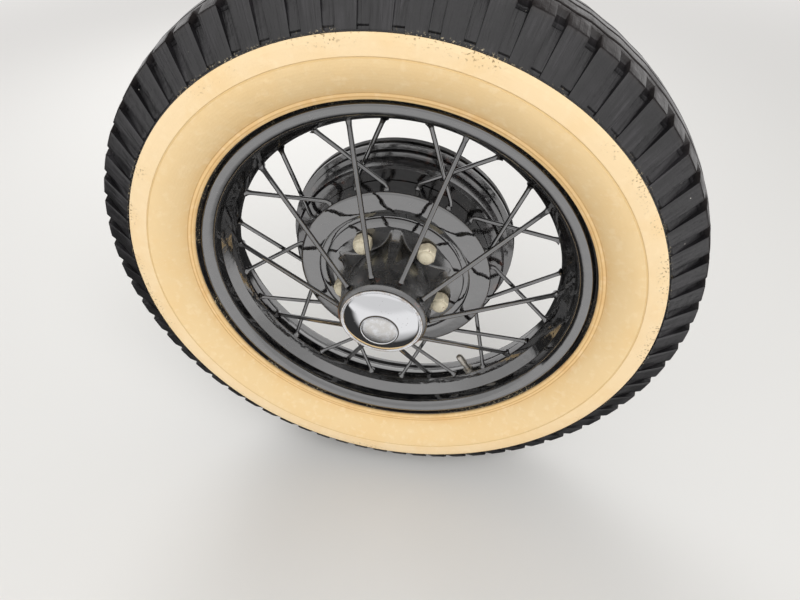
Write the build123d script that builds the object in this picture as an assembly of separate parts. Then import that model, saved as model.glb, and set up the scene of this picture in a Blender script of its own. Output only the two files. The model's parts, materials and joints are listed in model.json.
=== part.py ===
from build123d import *
import math
import os

# Wire-spoked rear wheel of a small 1930s coupe, with its tyre, hub cap, brake drum, backing plate and axle end.
# Millimetres. X runs toward the car's tail, Y runs inboard along the axle, Z is up.
# The origin is the centre of the axle tube's inboard end. The wheel turns about the Y axis.
# A place is a distance along the axle, measured inboard from a datum plane just outboard of the rim.

# Rim
BEAD_SEAT_DIAMETER = 482.6   # nominal 19 inch bead seat
FLANGE_HEIGHT = 17.2         # bead seat to the outside of the rolled edge
MIDDLE = 48.0                # datum plane to the wheel's middle plane
RIM_SHEET = 3.0
CURL_RADIUS = 1.9            # rolled edge of the flange
CURL_PLACE = 5.0
FLANGE_LEAN = 10.0           # degrees that the flange leans back, foot to edge
FLANGE_BEND = 13.3           # bend between flange and bead seat
SEAT_DROP = 2.5              # heel of the bead seat below its nominal radius
SEAT_END_PLACE = 20.5
SEAT_TAPER = 2.0             # fall of the bead seat over its width
SEAT_BEND = 3.0
LEDGE_DROP = 11.6            # from the seat's heel to the edge between the rim's slope and its well
LEDGE_PLACE = 33.3
LEDGE_BEND = 4.0
WELL_RADIUS = 219.0          # axle side of the drop well's bottom
WELL_WIDTH = 12.0            # flat bottom of the drop well
WELL_BEND = 6.0

# Tyre
TYRE_RADIUS = 380.0          # crown of the tread
SHOULDER_DROP = 8.0          # from the crown's radius to the corner between tread and side
SHOULDER_PLACE = -5.0
WHITE_EDGE_RADIUS = 328.6    # edge of the white rubber, at the sidewall's widest point
WHITE_EDGE_PLACE = -28.7
SIDE_SHARE = 0.535           # point on the sidewall, from the rim to the white rubber's edge
SIDE_PLACE = -25.0
FOOT_INSET = 0.3             # sidewall's edge inside the rim's radius
FOOT_PLACE = -1.0
WHITE_THICKNESS = 3.0
SIDE_THICKNESS = 9.0
TREAD_THICKNESS = 17.0
SLOTS = 67                   # cross slots that part the shoulder into blocks
SLOT_PHASE = 91.65           # degrees from +X toward +Z
SLOT_WIDTH = 11.6
SLOT_START = 4.0             # from the white rubber's edge
SLOT_START_DEPTH = 1.8
SLOT_DEPTH = 7.6             # under the shoulder's corner
SLOT_END_PLACE = 12.0        # where it ends on the crown
SLOT_END_DEPTH = 8.6         # under the crown
SLOT_CLEAR = 12.0            # cutting room outside the tread
BEAD_WIDTH = 18.0
BEAD_SINK = 1.5              # raw bead's reach into the rim, before the rim is cut out of it

# Spokes
SPOKES_PER_ROW = 10
SPOKE_PHASE = 67.3           # degrees from +X toward +Z
FRONT_SPOKE_DIAMETER = 6.35
FRONT_HUB_PLACE = -36.5
FRONT_RIM_PLACE = 52.0
REAR_SPOKE_DIAMETER = 5.6
REAR_RIM_PLACE = 46.0
REAR_RIM_LEAD = 11.4         # degrees from the front spoke at the rim
REAR_HUB_LEAD = 9.7          # degrees from the front spoke at the hub, on its other side
REAR_STANDOFF = 6.0          # bent inner end above the hub shell's barrel
LEADING_HUB_PLACE = 61.0
TRAILING_HUB_PLACE = 48.0
WELD_RADIUS = 5.5
WELD_LENGTH = 8.0

# Hub shell
SHELL_SHEET = 3.0
NOSE_BORE = 46.0
NOSE_FACE_PLACE = -52.5
NOSE_FACE_RADIUS = 51.5
NOSE_RADIUS = 57.0
NOSE_PLACE = -46.0
CONE_RADIUS = 66.0
CONE_PLACE = 5.0
FLARE_RADIUS = 78.0
FLARE_BOW_OUT = 0.22         # shares of the flare's width and depth at the middle of its curve
FLARE_BOW_BACK = 0.66
LUG_FACE_PLACE = 32.5        # outboard face of the lug seats
LUG_FACE_RADIUS = 82.5       # where the face falls away to the groove
LUG_FACE_FALL = 2.7
SEAT_PLATE = 8.5             # lug face to the back that bears on the drum
SEAT_PLATE_BORE = 46.0
GROOVE_INNER = 93.0
GROOVE_OUTER = 102.0
GROOVE_DEPTH = 2.8
COLLAR_PLACE = 34.0          # inner edge of the broad flange
SHELL_RADIUS = 127.0
SHELL_RADIUS_PLACE = 36.5
SHELL_EDGE_RADIUS = 2.2
BARREL_END = 69.0
POCKET_RADIUS = 57.0         # round wall of the pocket at each lug
POCKET_OFFSET = 106.0        # the wall's centre, from the axle
POCKET_WALL_RADIUS = 49.5    # the pocket's inner wall at the lug face
POCKET_WALL_FRONT = 68.5     # the same wall, carried on to the nose's corner

# Lug studs and nuts
LUGS = 5
LUG_CIRCLE = 139.7
LUG_PHASE = 49.4
STUD_DIAMETER = 12.7
LUG_HOLE_CLEARANCE = 1.0
NUT_ACROSS_FLATS = 22.2
NUT_FOOT_LENGTH = 2.3        # tapered foot of the nut, on the edge of the stud's hole
NUT_FOOT_RADIUS = 8.6
NUT_HEX_LENGTH = 14.5
NUT_DOME_LENGTH = 6.5
NUT_CAVITY = 17.0

# Hub cap
CAP_RADIUS = 52.0
CAP_BEAD = 1.5
CAP_HEIGHT = 17.0
CAP_SHEET = 1.2
CAP_SKIRT = 12.0
CAP_SKIRT_CLEARANCE = 0.1
MEDALLION_RADIUS = 23.0
MEDALLION_EDGE = 1.0

# Brake drum
HAT_RADIUS = 106.0
DRUM_SHEET = 5.0
DRUM_BORE = 34.0
DRUM_FACE_PLACE = 70.0
DRUM_RADIUS = 145.5
DRUM_WALL = 6.0
DRUM_CORNER = 3.0
DRUM_STEP = 1.0              # slopes and small steps of the casting
RIB_RADIUS = 150.5
RIB_PLACE = 96.0
RIB_WIDTH = 4.0
LIP_RADIUS = 157.5
LIP_WIDTH = 4.0
DRUM_END = 108.0

# Wheel hub and axle shaft
HUB_FLANGE_RADIUS = 88.0
HUB_FLANGE_THICKNESS = 9.0
HUB_NOSE_END = -6.0
HUB_BARREL_RADIUS = 40.0
HUB_BARREL_END = 101.0
HUB_FILLET = 6.0
JOURNAL_RADIUS = 29.0
JOURNAL_START = 72.0         # outboard end of the housing's spindle
BEARING_DEPTH = 66.0         # outboard end of the hub's bearing bore
RUNNING_CLEARANCE = 0.05
SHAFT_RADIUS = 14.3
TAPER_END_RADIUS = 11.5
THREAD_RADIUS = 9.5
SHAFT_END = -30.0
AXLE_NUT_FLATS = 30.0
AXLE_NUT_THICKNESS = 14.0
WASHER_RADIUS = 19.0
WASHER_THICKNESS = 3.0

# Backing plate and axle housing
PLATE_GAP = 5.0              # drum's open end to the plate
PLATE_SHEET = 3.0
PLATE_RADIUS = 158.5
PLATE_RIM = 8.0              # depth of the plate's turned edge
PLATE_RIB_RADIUS = 79.0
PLATE_RIB_WIDTH = 12.0
PLATE_RIB_HEIGHT = 4.0
HOUSING_FLANGE_RADIUS = 62.0
HOUSING_FLANGE_THICKNESS = 10.0
HOUSING_CONE_LENGTH = 22.0
HOUSING_CONE_SPREAD = 7.3
TUBE_RADIUS = 31.0
TUBE_BORE = 23.0
TUBE_LENGTH = 150.0          # from the backing plate's back to the tube's cut end
PLATE_BOLTS = 4
PLATE_BOLT_CIRCLE = 96.0
PLATE_BOLT_PHASE = 45.0
PLATE_BOLT_DIAMETER = 11.1
PLATE_BOLT_FLATS = 17.5
PLATE_BOLT_HEAD = 6.5
PLATE_NUT_THICKNESS = 8.5
PLATE_BOLT_TIP = 3.0         # thread beyond the nut
PLATE_BOLT_CLEARANCE = 0.3

# Brake camshaft, lever and adjuster
BRAKE_OFFSET = 114.0         # camshaft and adjuster from the axle
CAMSHAFT_ANGLE = 180.0
ADJUSTER_ANGLE = 0.0
CAMSHAFT_RADIUS = 9.5
CAMSHAFT_START = 102.0
CAMSHAFT_TIP = 3.0           # shaft beyond the lever
BOSS_TAPER = 3.0             # fall in radius over the length of a cast boss
BUSH_RADIUS = 18.0
BUSH_LENGTH = 16.0
LEVER_LENGTH = 95.0
LEVER_THICKNESS = 9.0
LEVER_BOSS_RADIUS = 16.0
LEVER_EYE_RADIUS = 10.0
LEVER_HOLE_RADIUS = 4.8
LEVER_WAIST = 0.8            # blade's half width as a share of the boss and the eye
ADJUSTER_BOSS_RADIUS = 16.0
ADJUSTER_BOSS_LENGTH = 12.0
ADJUSTER_SQUARE = 9.5
ADJUSTER_STEM = 16.0

# Valve
VALVE_RADIUS = 4.0
VALVE_CAP_RADIUS = 5.2
VALVE_CAP_LENGTH = 14.0
VALVE_LENGTH = 30.0
VALVE_NUT_FLATS = 15.0
VALVE_NUT_THICKNESS = 4.0

# Places worked out from the sizes above
RIM_RADIUS = BEAD_SEAT_DIAMETER / 2 + FLANGE_HEIGHT
PLATE_PLACE = DRUM_END + PLATE_GAP
PLATE_BACK = PLATE_PLACE + PLATE_SHEET
EDGE = -(TUBE_LENGTH + PLATE_BACK)       # Y of the rim's outboard edge plane
SEAT_BACK = LUG_FACE_PLACE + SEAT_PLATE  # where the wheel bears on the drum
HUB_FACE = SEAT_BACK + DRUM_SHEET
HUB_FLANGE_BACK = HUB_FACE + HUB_FLANGE_THICKNESS
CAP_PLACE = NOSE_FACE_PLACE - CAP_BEAD
VALVE_ANGLE = SPOKE_PHASE + 6.5 * 360 / SPOKES_PER_ROW


def at(radius, place):
    """Point of a section, as radius and Y."""
    return (radius, EDGE + place)


def mirrored(point):
    """The same section point on the other side of the wheel's middle plane."""
    return (point[0], 2 * (EDGE + MIDDLE) - point[1])


def polar(radius, angle, place):
    """Point at a radius and angle round the axle."""
    a = math.radians(angle)
    return Vector(radius * math.cos(a), EDGE + place, radius * math.sin(a))


def turned(*outline):
    """Solid of revolution about the axle from radius and place corners."""
    return revolve(make_face(Polyline(*[at(*corner) for corner in outline], close=True)), Axis.Y)


def turned_edges(edges):
    """Solid of revolution about the axle from joined lines and arcs."""
    return revolve(make_face(Curve() + edges), Axis.Y)


def rod(start, end, radius, end_radius=None):
    """Round rod between two points, or a cone when an end radius is given."""
    span = end - start
    plane = Plane(origin=start, z_dir=span.normalized())
    seat = (Align.CENTER, Align.CENTER, Align.MIN)
    if end_radius is None:
        return plane * Cylinder(radius, span.length, align=seat)
    return plane * Cone(radius, end_radius, span.length, align=seat)


def pin(radius, start, end, offset=0.0, angle=0.0):
    """Cylinder parallel to the axle from one place to another."""
    return rod(polar(offset, angle, start), polar(offset, angle, end), radius)


def prism(flats, sides, start, end, offset=0.0, angle=0.0):
    """Prism parallel to the axle, sized over its flats."""
    base = Plane(origin=polar(offset, angle, start), x_dir=(1, 0, 0), z_dir=(0, 1, 0))
    outline = RegularPolygon(flats / 2, sides, major_radius=False, rotation=angle)
    return extrude(base * outline, end - start)


def biggest(shape):
    return max(shape.solids(), key=lambda solid: solid.volume)


def round_axle(count, phase):
    """Angles of evenly spaced pieces."""
    return [phase + i * 360 / count for i in range(count)]


# Rim: a drop-centre section with rolled edges
def build_rim():
    heel = BEAD_SEAT_DIAMETER / 2 - SEAT_DROP - RIM_SHEET
    edge = RIM_RADIUS - CURL_RADIUS
    front = CURL_PLACE - CURL_RADIUS
    half = [
        at(edge, front),
        at(heel, front - (edge - heel) * math.tan(math.radians(FLANGE_LEAN))),
        at(heel - SEAT_TAPER, SEAT_END_PLACE),
        at(heel - LEDGE_DROP, LEDGE_PLACE),
        at(WELL_RADIUS, MIDDLE - WELL_WIDTH / 2),
    ]
    path = half + [mirrored(corner) for corner in reversed(half)]
    bends = [FLANGE_BEND, SEAT_BEND, LEDGE_BEND, WELL_BEND]
    bends = bends + bends[::-1]
    sheet = FilletPolyline(*path, radius=bends).wire().offset_2d(RIM_SHEET, side=Side.RIGHT, closed=True)
    body = revolve(make_face(sheet), Axis.Y)
    for place in (CURL_PLACE, 2 * MIDDLE - CURL_PLACE):
        curl = Pos(*at(RIM_RADIUS - CURL_RADIUS, place)) * Circle(CURL_RADIUS)
        body = body + revolve(curl, Axis.Y)
    return biggest(body)


# Tyre: a carcass with a bead on each side, and white rubber let into its outboard sidewall
RIM_SIDE = at(RIM_RADIUS - FOOT_INSET, FOOT_PLACE)
SIDE = at(RIM_RADIUS + SIDE_SHARE * (WHITE_EDGE_RADIUS - RIM_RADIUS), SIDE_PLACE)
WHITE_EDGE = at(WHITE_EDGE_RADIUS, WHITE_EDGE_PLACE)
SHOULDER = at(TYRE_RADIUS - SHOULDER_DROP, SHOULDER_PLACE)


def inward(point, distance):
    """A section point moved toward the wheel's middle plane."""
    return (point[0], point[1] + distance)


def tyre_section(toe, foot, side, widest, shoulder, crown):
    """Closed section symmetrical about the middle plane."""
    edges = [ThreePointArc(shoulder, crown, mirrored(shoulder)), Line(mirrored(toe[0]), toe[0])]
    for flip in (lambda point: point, mirrored):
        corners = [flip(corner) for corner in toe + [foot]]
        edges += [Line(a, b) for a, b in zip(corners, corners[1:])]
        edges.append(ThreePointArc(flip(foot), flip(side), flip(widest)))
        edges.append(Line(flip(widest), flip(shoulder)))
    return edges


def slot_outline():
    """Section of the space that one cross slot takes, from the sidewall over the shoulder to the crown."""
    slope = math.atan2(SHOULDER[1] - WHITE_EDGE[1], SHOULDER[0] - WHITE_EDGE[0])
    along = (math.cos(slope), math.sin(slope))
    down = (-math.sin(slope), math.cos(slope))
    start = (WHITE_EDGE[0] + SLOT_START * along[0], WHITE_EDGE[1] + SLOT_START * along[1])
    sunk = (start[0] + SLOT_START_DEPTH * down[0], start[1] + SLOT_START_DEPTH * down[1])
    corner = (SHOULDER[0] + SLOT_DEPTH * down[0], SHOULDER[1] + SLOT_DEPTH * down[1])
    end = at(TYRE_RADIUS - SLOT_END_DEPTH, SLOT_END_PLACE)
    top = TYRE_RADIUS + SLOT_CLEAR
    outside = (top, SHOULDER[1] - SLOT_CLEAR)
    return [start, sunk, corner, end, (top, end[1]), outside, (start[0], start[1] - SLOT_START_DEPTH)]


def tread_slots():
    """The cross slots of both shoulders, as solids to cut from the tyre."""
    outlines = [slot_outline(), [mirrored(corner) for corner in slot_outline()]]
    cutters = [extrude(make_face(Polyline(*outline, close=True)), SLOT_WIDTH / 2, both=True) for outline in outlines]
    return [Rot(0, -angle, 0) * cutter for angle in round_axle(SLOTS, SLOT_PHASE) for cutter in cutters]


def build_tyre(rim):
    seat = BEAD_SEAT_DIAMETER / 2 - SEAT_DROP - BEAD_SINK
    flange = CURL_PLACE - BEAD_SINK
    toe = [at(seat, flange + BEAD_WIDTH), at(seat, flange), at(RIM_RADIUS - CURL_RADIUS, flange)]
    outside = turned_edges(tyre_section(toe, RIM_SIDE, SIDE, WHITE_EDGE, SHOULDER, at(TYRE_RADIUS, MIDDLE)))
    inside = turned_edges(tyre_section(
        [at(WELL_RADIUS, flange + BEAD_WIDTH)],
        at(RIM_RADIUS, flange + BEAD_WIDTH),
        inward(SIDE, SIDE_THICKNESS),
        inward(WHITE_EDGE, SIDE_THICKNESS),
        inward((SHOULDER[0] - TREAD_THICKNESS, SHOULDER[1]), SIDE_THICKNESS),
        at(TYRE_RADIUS - TREAD_THICKNESS, MIDDLE),
    ))
    return biggest((outside - tread_slots()) - inside - rim)


def build_whitewall(rim):
    under = [inward(point, WHITE_THICKNESS) for point in (WHITE_EDGE, SIDE, RIM_SIDE)]
    band = [
        ThreePointArc(RIM_SIDE, SIDE, WHITE_EDGE),
        Line(WHITE_EDGE, under[0]),
        ThreePointArc(*under),
        Line(under[2], RIM_SIDE),
    ]
    return biggest(turned_edges(band) - rim)


# Hub shell: a pressed nose and cone flare to the lug seats, then a broad flange whose edge turns back to a barrel
def shell_core(inset):
    """Body of revolution under the shell's outer surface, less its lug pockets, all moved in by an inset."""
    face = at(0, NOSE_FACE_PLACE + inset)
    nose = [
        at(NOSE_FACE_RADIUS - inset / 2, NOSE_FACE_PLACE + inset),
        at(NOSE_RADIUS - inset, NOSE_PLACE + inset / 2),
        at(CONE_RADIUS - inset, CONE_PLACE),
    ]
    lug_edge = at(FLARE_RADIUS - inset, LUG_FACE_PLACE)
    bend = (
        nose[2][0] + FLARE_BOW_OUT * (FLARE_RADIUS - CONE_RADIUS),
        nose[2][1] + FLARE_BOW_BACK * (LUG_FACE_PLACE - CONE_PLACE),
    )
    back = at(0, LUG_FACE_PLACE)
    edges = [
        Line(face, nose[0]),
        Line(nose[0], nose[1]),
        Line(nose[1], nose[2]),
        ThreePointArc(nose[2], bend, lug_edge),
        Line(lug_edge, back),
        Line(back, face),
    ]
    body = turned_edges(edges)
    within = turned(
        (0, NOSE_PLACE), (POCKET_WALL_FRONT - inset, NOSE_PLACE),
        (POCKET_WALL_RADIUS - inset, LUG_FACE_PLACE), (0, LUG_FACE_PLACE),
    )
    for angle in round_axle(LUGS, LUG_PHASE):
        pocket = pin(POCKET_RADIUS + inset, NOSE_PLACE, LUG_FACE_PLACE, POCKET_OFFSET, angle)
        body = body - (pocket - within)
    return body


def build_shell():
    body = shell_core(0.0) - shell_core(SHELL_SHEET) - pin(NOSE_BORE, NOSE_FACE_PLACE, NOSE_PLACE)
    face_edge = LUG_FACE_PLACE + LUG_FACE_FALL
    groove = face_edge + GROOVE_DEPTH
    under = SHELL_RADIUS - SHELL_SHEET
    collar = GROOVE_OUTER + SHELL_SHEET
    body = biggest(body) + turned(
        (SEAT_PLATE_BORE, LUG_FACE_PLACE), (LUG_FACE_RADIUS, LUG_FACE_PLACE), (GROOVE_INNER, face_edge),
        (GROOVE_INNER, groove),
        (GROOVE_OUTER, groove), (GROOVE_OUTER, COLLAR_PLACE), (SHELL_RADIUS, SHELL_RADIUS_PLACE),
        (SHELL_RADIUS, BARREL_END), (under, BARREL_END), (under, SHELL_RADIUS_PLACE + SHELL_SHEET),
        (collar, COLLAR_PLACE + SHELL_SHEET), (collar, SEAT_BACK), (SEAT_PLATE_BORE, SEAT_BACK),
    )
    edge = Pos(*at(SHELL_RADIUS, SHELL_RADIUS_PLACE + SHELL_EDGE_RADIUS)) * Circle(SHELL_EDGE_RADIUS)
    body = body + revolve(edge, Axis.Y)
    for angle in round_axle(LUGS, LUG_PHASE):
        radius = STUD_DIAMETER / 2 + LUG_HOLE_CLEARANCE
        body = body - pin(radius, LUG_FACE_PLACE, SEAT_BACK, LUG_CIRCLE / 2, angle)
    return biggest(body)


# Spokes: straight rods welded at both ends, with a spread of weld metal at the rim
def trimmed_spoke(hub_end, rim_end, diameter, rim, shell):
    """Rod run past both ends, then cut back to the rim and the shell, with its weld at the rim."""
    along = (rim_end - hub_end).normalized()
    body = rod(hub_end, rim_end + along * RIM_SHEET, diameter / 2)
    body = body + rod(rim_end - along * WELD_LENGTH, rim_end + along, diameter / 2, WELD_RADIUS)
    return biggest(body - rim - shell)


def front_spokes(rim, shell):
    rise = (CONE_RADIUS - NOSE_RADIUS) / (CONE_PLACE - NOSE_PLACE)
    hub_radius = NOSE_RADIUS + rise * (FRONT_HUB_PLACE - NOSE_PLACE) - SHELL_SHEET / 2
    solids = []
    for angle in round_axle(SPOKES_PER_ROW, SPOKE_PHASE):
        hub_end = polar(hub_radius, angle, FRONT_HUB_PLACE)
        rim_end = polar(WELL_RADIUS, angle, FRONT_RIM_PLACE)
        solids.append(trimmed_spoke(hub_end, rim_end, FRONT_SPOKE_DIAMETER, rim, shell))
    return Compound(children=solids)


def rear_spokes(side, hub_place, rim, shell):
    """One of the two crossing rows behind the front spokes, with its bent feet on the barrel."""
    solids = []
    radius = REAR_SPOKE_DIAMETER / 2
    for angle in round_axle(SPOKES_PER_ROW, SPOKE_PHASE):
        hub_angle = angle - side * REAR_HUB_LEAD
        bend = polar(SHELL_RADIUS + REAR_STANDOFF, hub_angle, hub_place)
        foot = polar(SHELL_RADIUS - SHELL_SHEET / 2, hub_angle, hub_place)
        rim_end = polar(WELL_RADIUS, angle + side * REAR_RIM_LEAD, REAR_RIM_PLACE)
        along = (rim_end - bend).normalized()
        body = rod(bend, rim_end + along * RIM_SHEET, radius)
        body = body + rod(rim_end - along * WELD_LENGTH, rim_end + along, radius, WELD_RADIUS)
        body = body + Pos(bend) * Sphere(radius) + rod(foot, bend, radius)
        solids.append(biggest(body - rim - shell))
    return Compound(children=solids)


# Studs and nuts
def build_studs():
    solids = []
    for angle in round_axle(LUGS, LUG_PHASE):
        stud = pin(STUD_DIAMETER / 2, LUG_FACE_PLACE - NUT_CAVITY, HUB_FLANGE_BACK, LUG_CIRCLE / 2, angle)
        solids.append(stud)
    return Compound(children=solids)


def build_nuts():
    solids = []
    base = LUG_FACE_PLACE - NUT_FOOT_LENGTH
    top = base - NUT_HEX_LENGTH
    for angle in round_axle(LUGS, LUG_PHASE):
        offset = LUG_CIRCLE / 2
        nut = prism(NUT_ACROSS_FLATS, 6, top, base, offset, angle)
        foot = rod(polar(offset, angle, base), polar(offset, angle, LUG_FACE_PLACE),
                   NUT_ACROSS_FLATS / 2, NUT_FOOT_RADIUS)
        dome = rod(polar(offset, angle, top), polar(offset, angle, top - NUT_DOME_LENGTH),
                   NUT_ACROSS_FLATS / 2, NUT_ACROSS_FLATS / 2 - NUT_DOME_LENGTH / 2)
        hollow = pin(STUD_DIAMETER / 2, LUG_FACE_PLACE - NUT_CAVITY, LUG_FACE_PLACE, offset, angle)
        solids.append(biggest(nut + foot + dome - hollow))
    return Compound(children=solids)


# Hub cap: a domed cover with a rolled bead and a skirt in the nose, and its round medallion
def dome_place(radius, lift=0.0):
    """Place of the dome's outside at a radius, lifted off the sheet by a distance."""
    run = CAP_RADIUS - CAP_BEAD
    sphere = (run * run + CAP_HEIGHT * CAP_HEIGHT) / (2 * CAP_HEIGHT)
    return CAP_PLACE - lift - (math.sqrt(sphere * sphere - radius * radius) - (sphere - CAP_HEIGHT))


def dome_arc(radius, lift=0.0):
    """Three section points of the dome, from a radius to the centre."""
    return [at(r, dome_place(r, lift)) for r in (radius, radius / 2, 0)]


def build_cap():
    outer = dome_arc(CAP_RADIUS - CAP_BEAD)
    inner = dome_arc(CAP_RADIUS - CAP_BEAD, -CAP_SHEET)
    shell = turned_edges([
        ThreePointArc(*outer),
        Line(outer[2], inner[2]),
        ThreePointArc(*inner),
        Line(inner[0], outer[0]),
    ])
    bead = revolve(Pos(*at(CAP_RADIUS - CAP_BEAD, CAP_PLACE)) * Circle(CAP_BEAD), Axis.Y)
    skirt_radius = NOSE_BORE - CAP_SKIRT_CLEARANCE
    hem = skirt_radius - CAP_SHEET
    skirt = turned(
        (skirt_radius, CAP_PLACE), (skirt_radius, CAP_PLACE + CAP_SKIRT),
        (hem, CAP_PLACE + CAP_SKIRT), (hem, CAP_PLACE - CAP_SHEET),
    )
    ledge = turned(
        (hem, CAP_PLACE - CAP_SHEET / 2), (CAP_RADIUS - CAP_BEAD, CAP_PLACE - CAP_SHEET / 2),
        (CAP_RADIUS - CAP_BEAD, CAP_PLACE + CAP_SHEET / 2), (hem, CAP_PLACE + CAP_SHEET / 2),
    )
    return biggest(shell + bead + skirt + ledge)


def build_medallion():
    """Plain round disc that stands a little proud of the dome."""
    under = dome_arc(MEDALLION_RADIUS)
    top = dome_arc(MEDALLION_RADIUS, MEDALLION_EDGE)
    return turned_edges([
        ThreePointArc(*top),
        Line(top[2], under[2]),
        ThreePointArc(*reversed(under)),
        Line(under[0], top[0]),
    ])


# Brake drum, with the hat that the wheel bears on
def build_drum():
    inner = DRUM_RADIUS - DRUM_WALL
    face = DRUM_FACE_PLACE
    lip_foot = DRUM_RADIUS + DRUM_STEP
    rib_end = RIB_PLACE + RIB_WIDTH + DRUM_STEP
    body = turned(
        (DRUM_BORE, SEAT_BACK), (HAT_RADIUS, SEAT_BACK), (HAT_RADIUS + DRUM_STEP, face),
        (DRUM_RADIUS - DRUM_CORNER, face), (DRUM_RADIUS, face + DRUM_CORNER), (DRUM_RADIUS, RIB_PLACE),
        (RIB_RADIUS, RIB_PLACE + DRUM_STEP), (RIB_RADIUS, RIB_PLACE + RIB_WIDTH), (lip_foot, rib_end),
        (lip_foot, DRUM_END - LIP_WIDTH - DRUM_STEP), (LIP_RADIUS, DRUM_END - LIP_WIDTH), (LIP_RADIUS, DRUM_END),
        (inner, DRUM_END), (inner, face + DRUM_SHEET), (HAT_RADIUS + DRUM_STEP - DRUM_SHEET, face + DRUM_SHEET),
        (HAT_RADIUS - DRUM_SHEET, HUB_FACE), (DRUM_BORE, HUB_FACE),
    )
    for angle in round_axle(LUGS, LUG_PHASE):
        body = body - pin(STUD_DIAMETER / 2, SEAT_BACK, HUB_FACE, LUG_CIRCLE / 2, angle)
    return body


def build_hub():
    """Hub with its flange behind the drum, tapered bore for the shaft and bearing bore for the spindle."""
    bore = JOURNAL_RADIUS + RUNNING_CLEARANCE
    body = turned(
        (TAPER_END_RADIUS, HUB_NOSE_END), (DRUM_BORE, HUB_NOSE_END), (DRUM_BORE, HUB_FACE),
        (HUB_FLANGE_RADIUS, HUB_FACE), (HUB_FLANGE_RADIUS, HUB_FLANGE_BACK),
        (HUB_BARREL_RADIUS + HUB_FILLET, HUB_FLANGE_BACK), (HUB_BARREL_RADIUS, HUB_FLANGE_BACK + HUB_FILLET),
        (HUB_BARREL_RADIUS, HUB_BARREL_END), (bore, HUB_BARREL_END), (bore, BEARING_DEPTH),
        (SHAFT_RADIUS, BEARING_DEPTH),
    )
    for angle in round_axle(LUGS, LUG_PHASE):
        body = body - pin(STUD_DIAMETER / 2, HUB_FACE, HUB_FLANGE_BACK, LUG_CIRCLE / 2, angle)
    return body


def build_shaft():
    """Axle shaft from the tube's end through the spindle to its threaded outboard end."""
    tube_end = -EDGE
    return turned(
        (0, SHAFT_END), (THREAD_RADIUS, SHAFT_END), (THREAD_RADIUS, HUB_NOSE_END), (TAPER_END_RADIUS, HUB_NOSE_END),
        (SHAFT_RADIUS, BEARING_DEPTH), (SHAFT_RADIUS, tube_end), (0, tube_end),
    )


def build_axle_nut():
    washer_face = HUB_NOSE_END - WASHER_THICKNESS
    nut = prism(AXLE_NUT_FLATS, 6, washer_face - AXLE_NUT_THICKNESS, washer_face)
    return nut - pin(THREAD_RADIUS, washer_face - AXLE_NUT_THICKNESS, washer_face)


def build_washer():
    washer_face = HUB_NOSE_END - WASHER_THICKNESS
    return pin(WASHER_RADIUS, washer_face, HUB_NOSE_END) - pin(THREAD_RADIUS, washer_face, HUB_NOSE_END)


# Axle housing end, with the flange for the backing plate and the spindle for the hub
def build_housing():
    flange_back = PLATE_BACK + HOUSING_FLANGE_THICKNESS
    body = turned(
        (TUBE_BORE, JOURNAL_START), (JOURNAL_RADIUS, JOURNAL_START), (JOURNAL_RADIUS, PLATE_BACK),
        (HOUSING_FLANGE_RADIUS, PLATE_BACK), (HOUSING_FLANGE_RADIUS, flange_back),
        (TUBE_RADIUS + HOUSING_CONE_SPREAD, flange_back), (TUBE_RADIUS, flange_back + HOUSING_CONE_LENGTH),
        (TUBE_RADIUS, -EDGE), (TUBE_BORE, -EDGE),
    )
    for angle in round_axle(PLATE_BOLTS, PLATE_BOLT_PHASE):
        radius = PLATE_BOLT_DIAMETER / 2 + PLATE_BOLT_CLEARANCE
        body = body - pin(radius, PLATE_BACK, flange_back, PLATE_BOLT_CIRCLE / 2, angle)
    return body


def build_plate():
    rim_back = PLATE_PLACE + PLATE_RIM
    inner_rib = PLATE_RIB_RADIUS - PLATE_RIB_WIDTH / 2
    outer_rib = PLATE_RIB_RADIUS + PLATE_RIB_WIDTH / 2
    slope = PLATE_RIB_HEIGHT
    body = turned(
        (JOURNAL_RADIUS, PLATE_PLACE), (inner_rib - slope, PLATE_PLACE), (inner_rib, PLATE_PLACE + slope),
        (outer_rib, PLATE_PLACE + slope), (outer_rib + slope, PLATE_PLACE), (PLATE_RADIUS, PLATE_PLACE),
        (PLATE_RADIUS, rim_back), (PLATE_RADIUS - PLATE_SHEET, rim_back), (PLATE_RADIUS - PLATE_SHEET, PLATE_BACK),
        (outer_rib + slope, PLATE_BACK), (outer_rib, PLATE_BACK + slope), (inner_rib, PLATE_BACK + slope),
        (inner_rib - slope, PLATE_BACK), (JOURNAL_RADIUS, PLATE_BACK),
    )
    for angle in round_axle(PLATE_BOLTS, PLATE_BOLT_PHASE):
        radius = PLATE_BOLT_DIAMETER / 2 + PLATE_BOLT_CLEARANCE
        body = body - pin(radius, PLATE_PLACE, PLATE_BACK, PLATE_BOLT_CIRCLE / 2, angle)
    body = body - pin(CAMSHAFT_RADIUS, PLATE_PLACE, PLATE_BACK, BRAKE_OFFSET, CAMSHAFT_ANGLE)
    return body


def build_plate_bolts():
    solids = []
    flange_back = PLATE_BACK + HOUSING_FLANGE_THICKNESS
    nut_end = flange_back + PLATE_NUT_THICKNESS
    for angle in round_axle(PLATE_BOLTS, PLATE_BOLT_PHASE):
        offset = PLATE_BOLT_CIRCLE / 2
        head = prism(PLATE_BOLT_FLATS, 6, PLATE_PLACE - PLATE_BOLT_HEAD, PLATE_PLACE, offset, angle)
        nut = prism(PLATE_BOLT_FLATS, 6, flange_back, nut_end, offset, angle)
        shank = pin(PLATE_BOLT_DIAMETER / 2, PLATE_PLACE, nut_end + PLATE_BOLT_TIP, offset, angle)
        solids.append(biggest(head + shank + nut))
    return Compound(children=solids)


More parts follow.
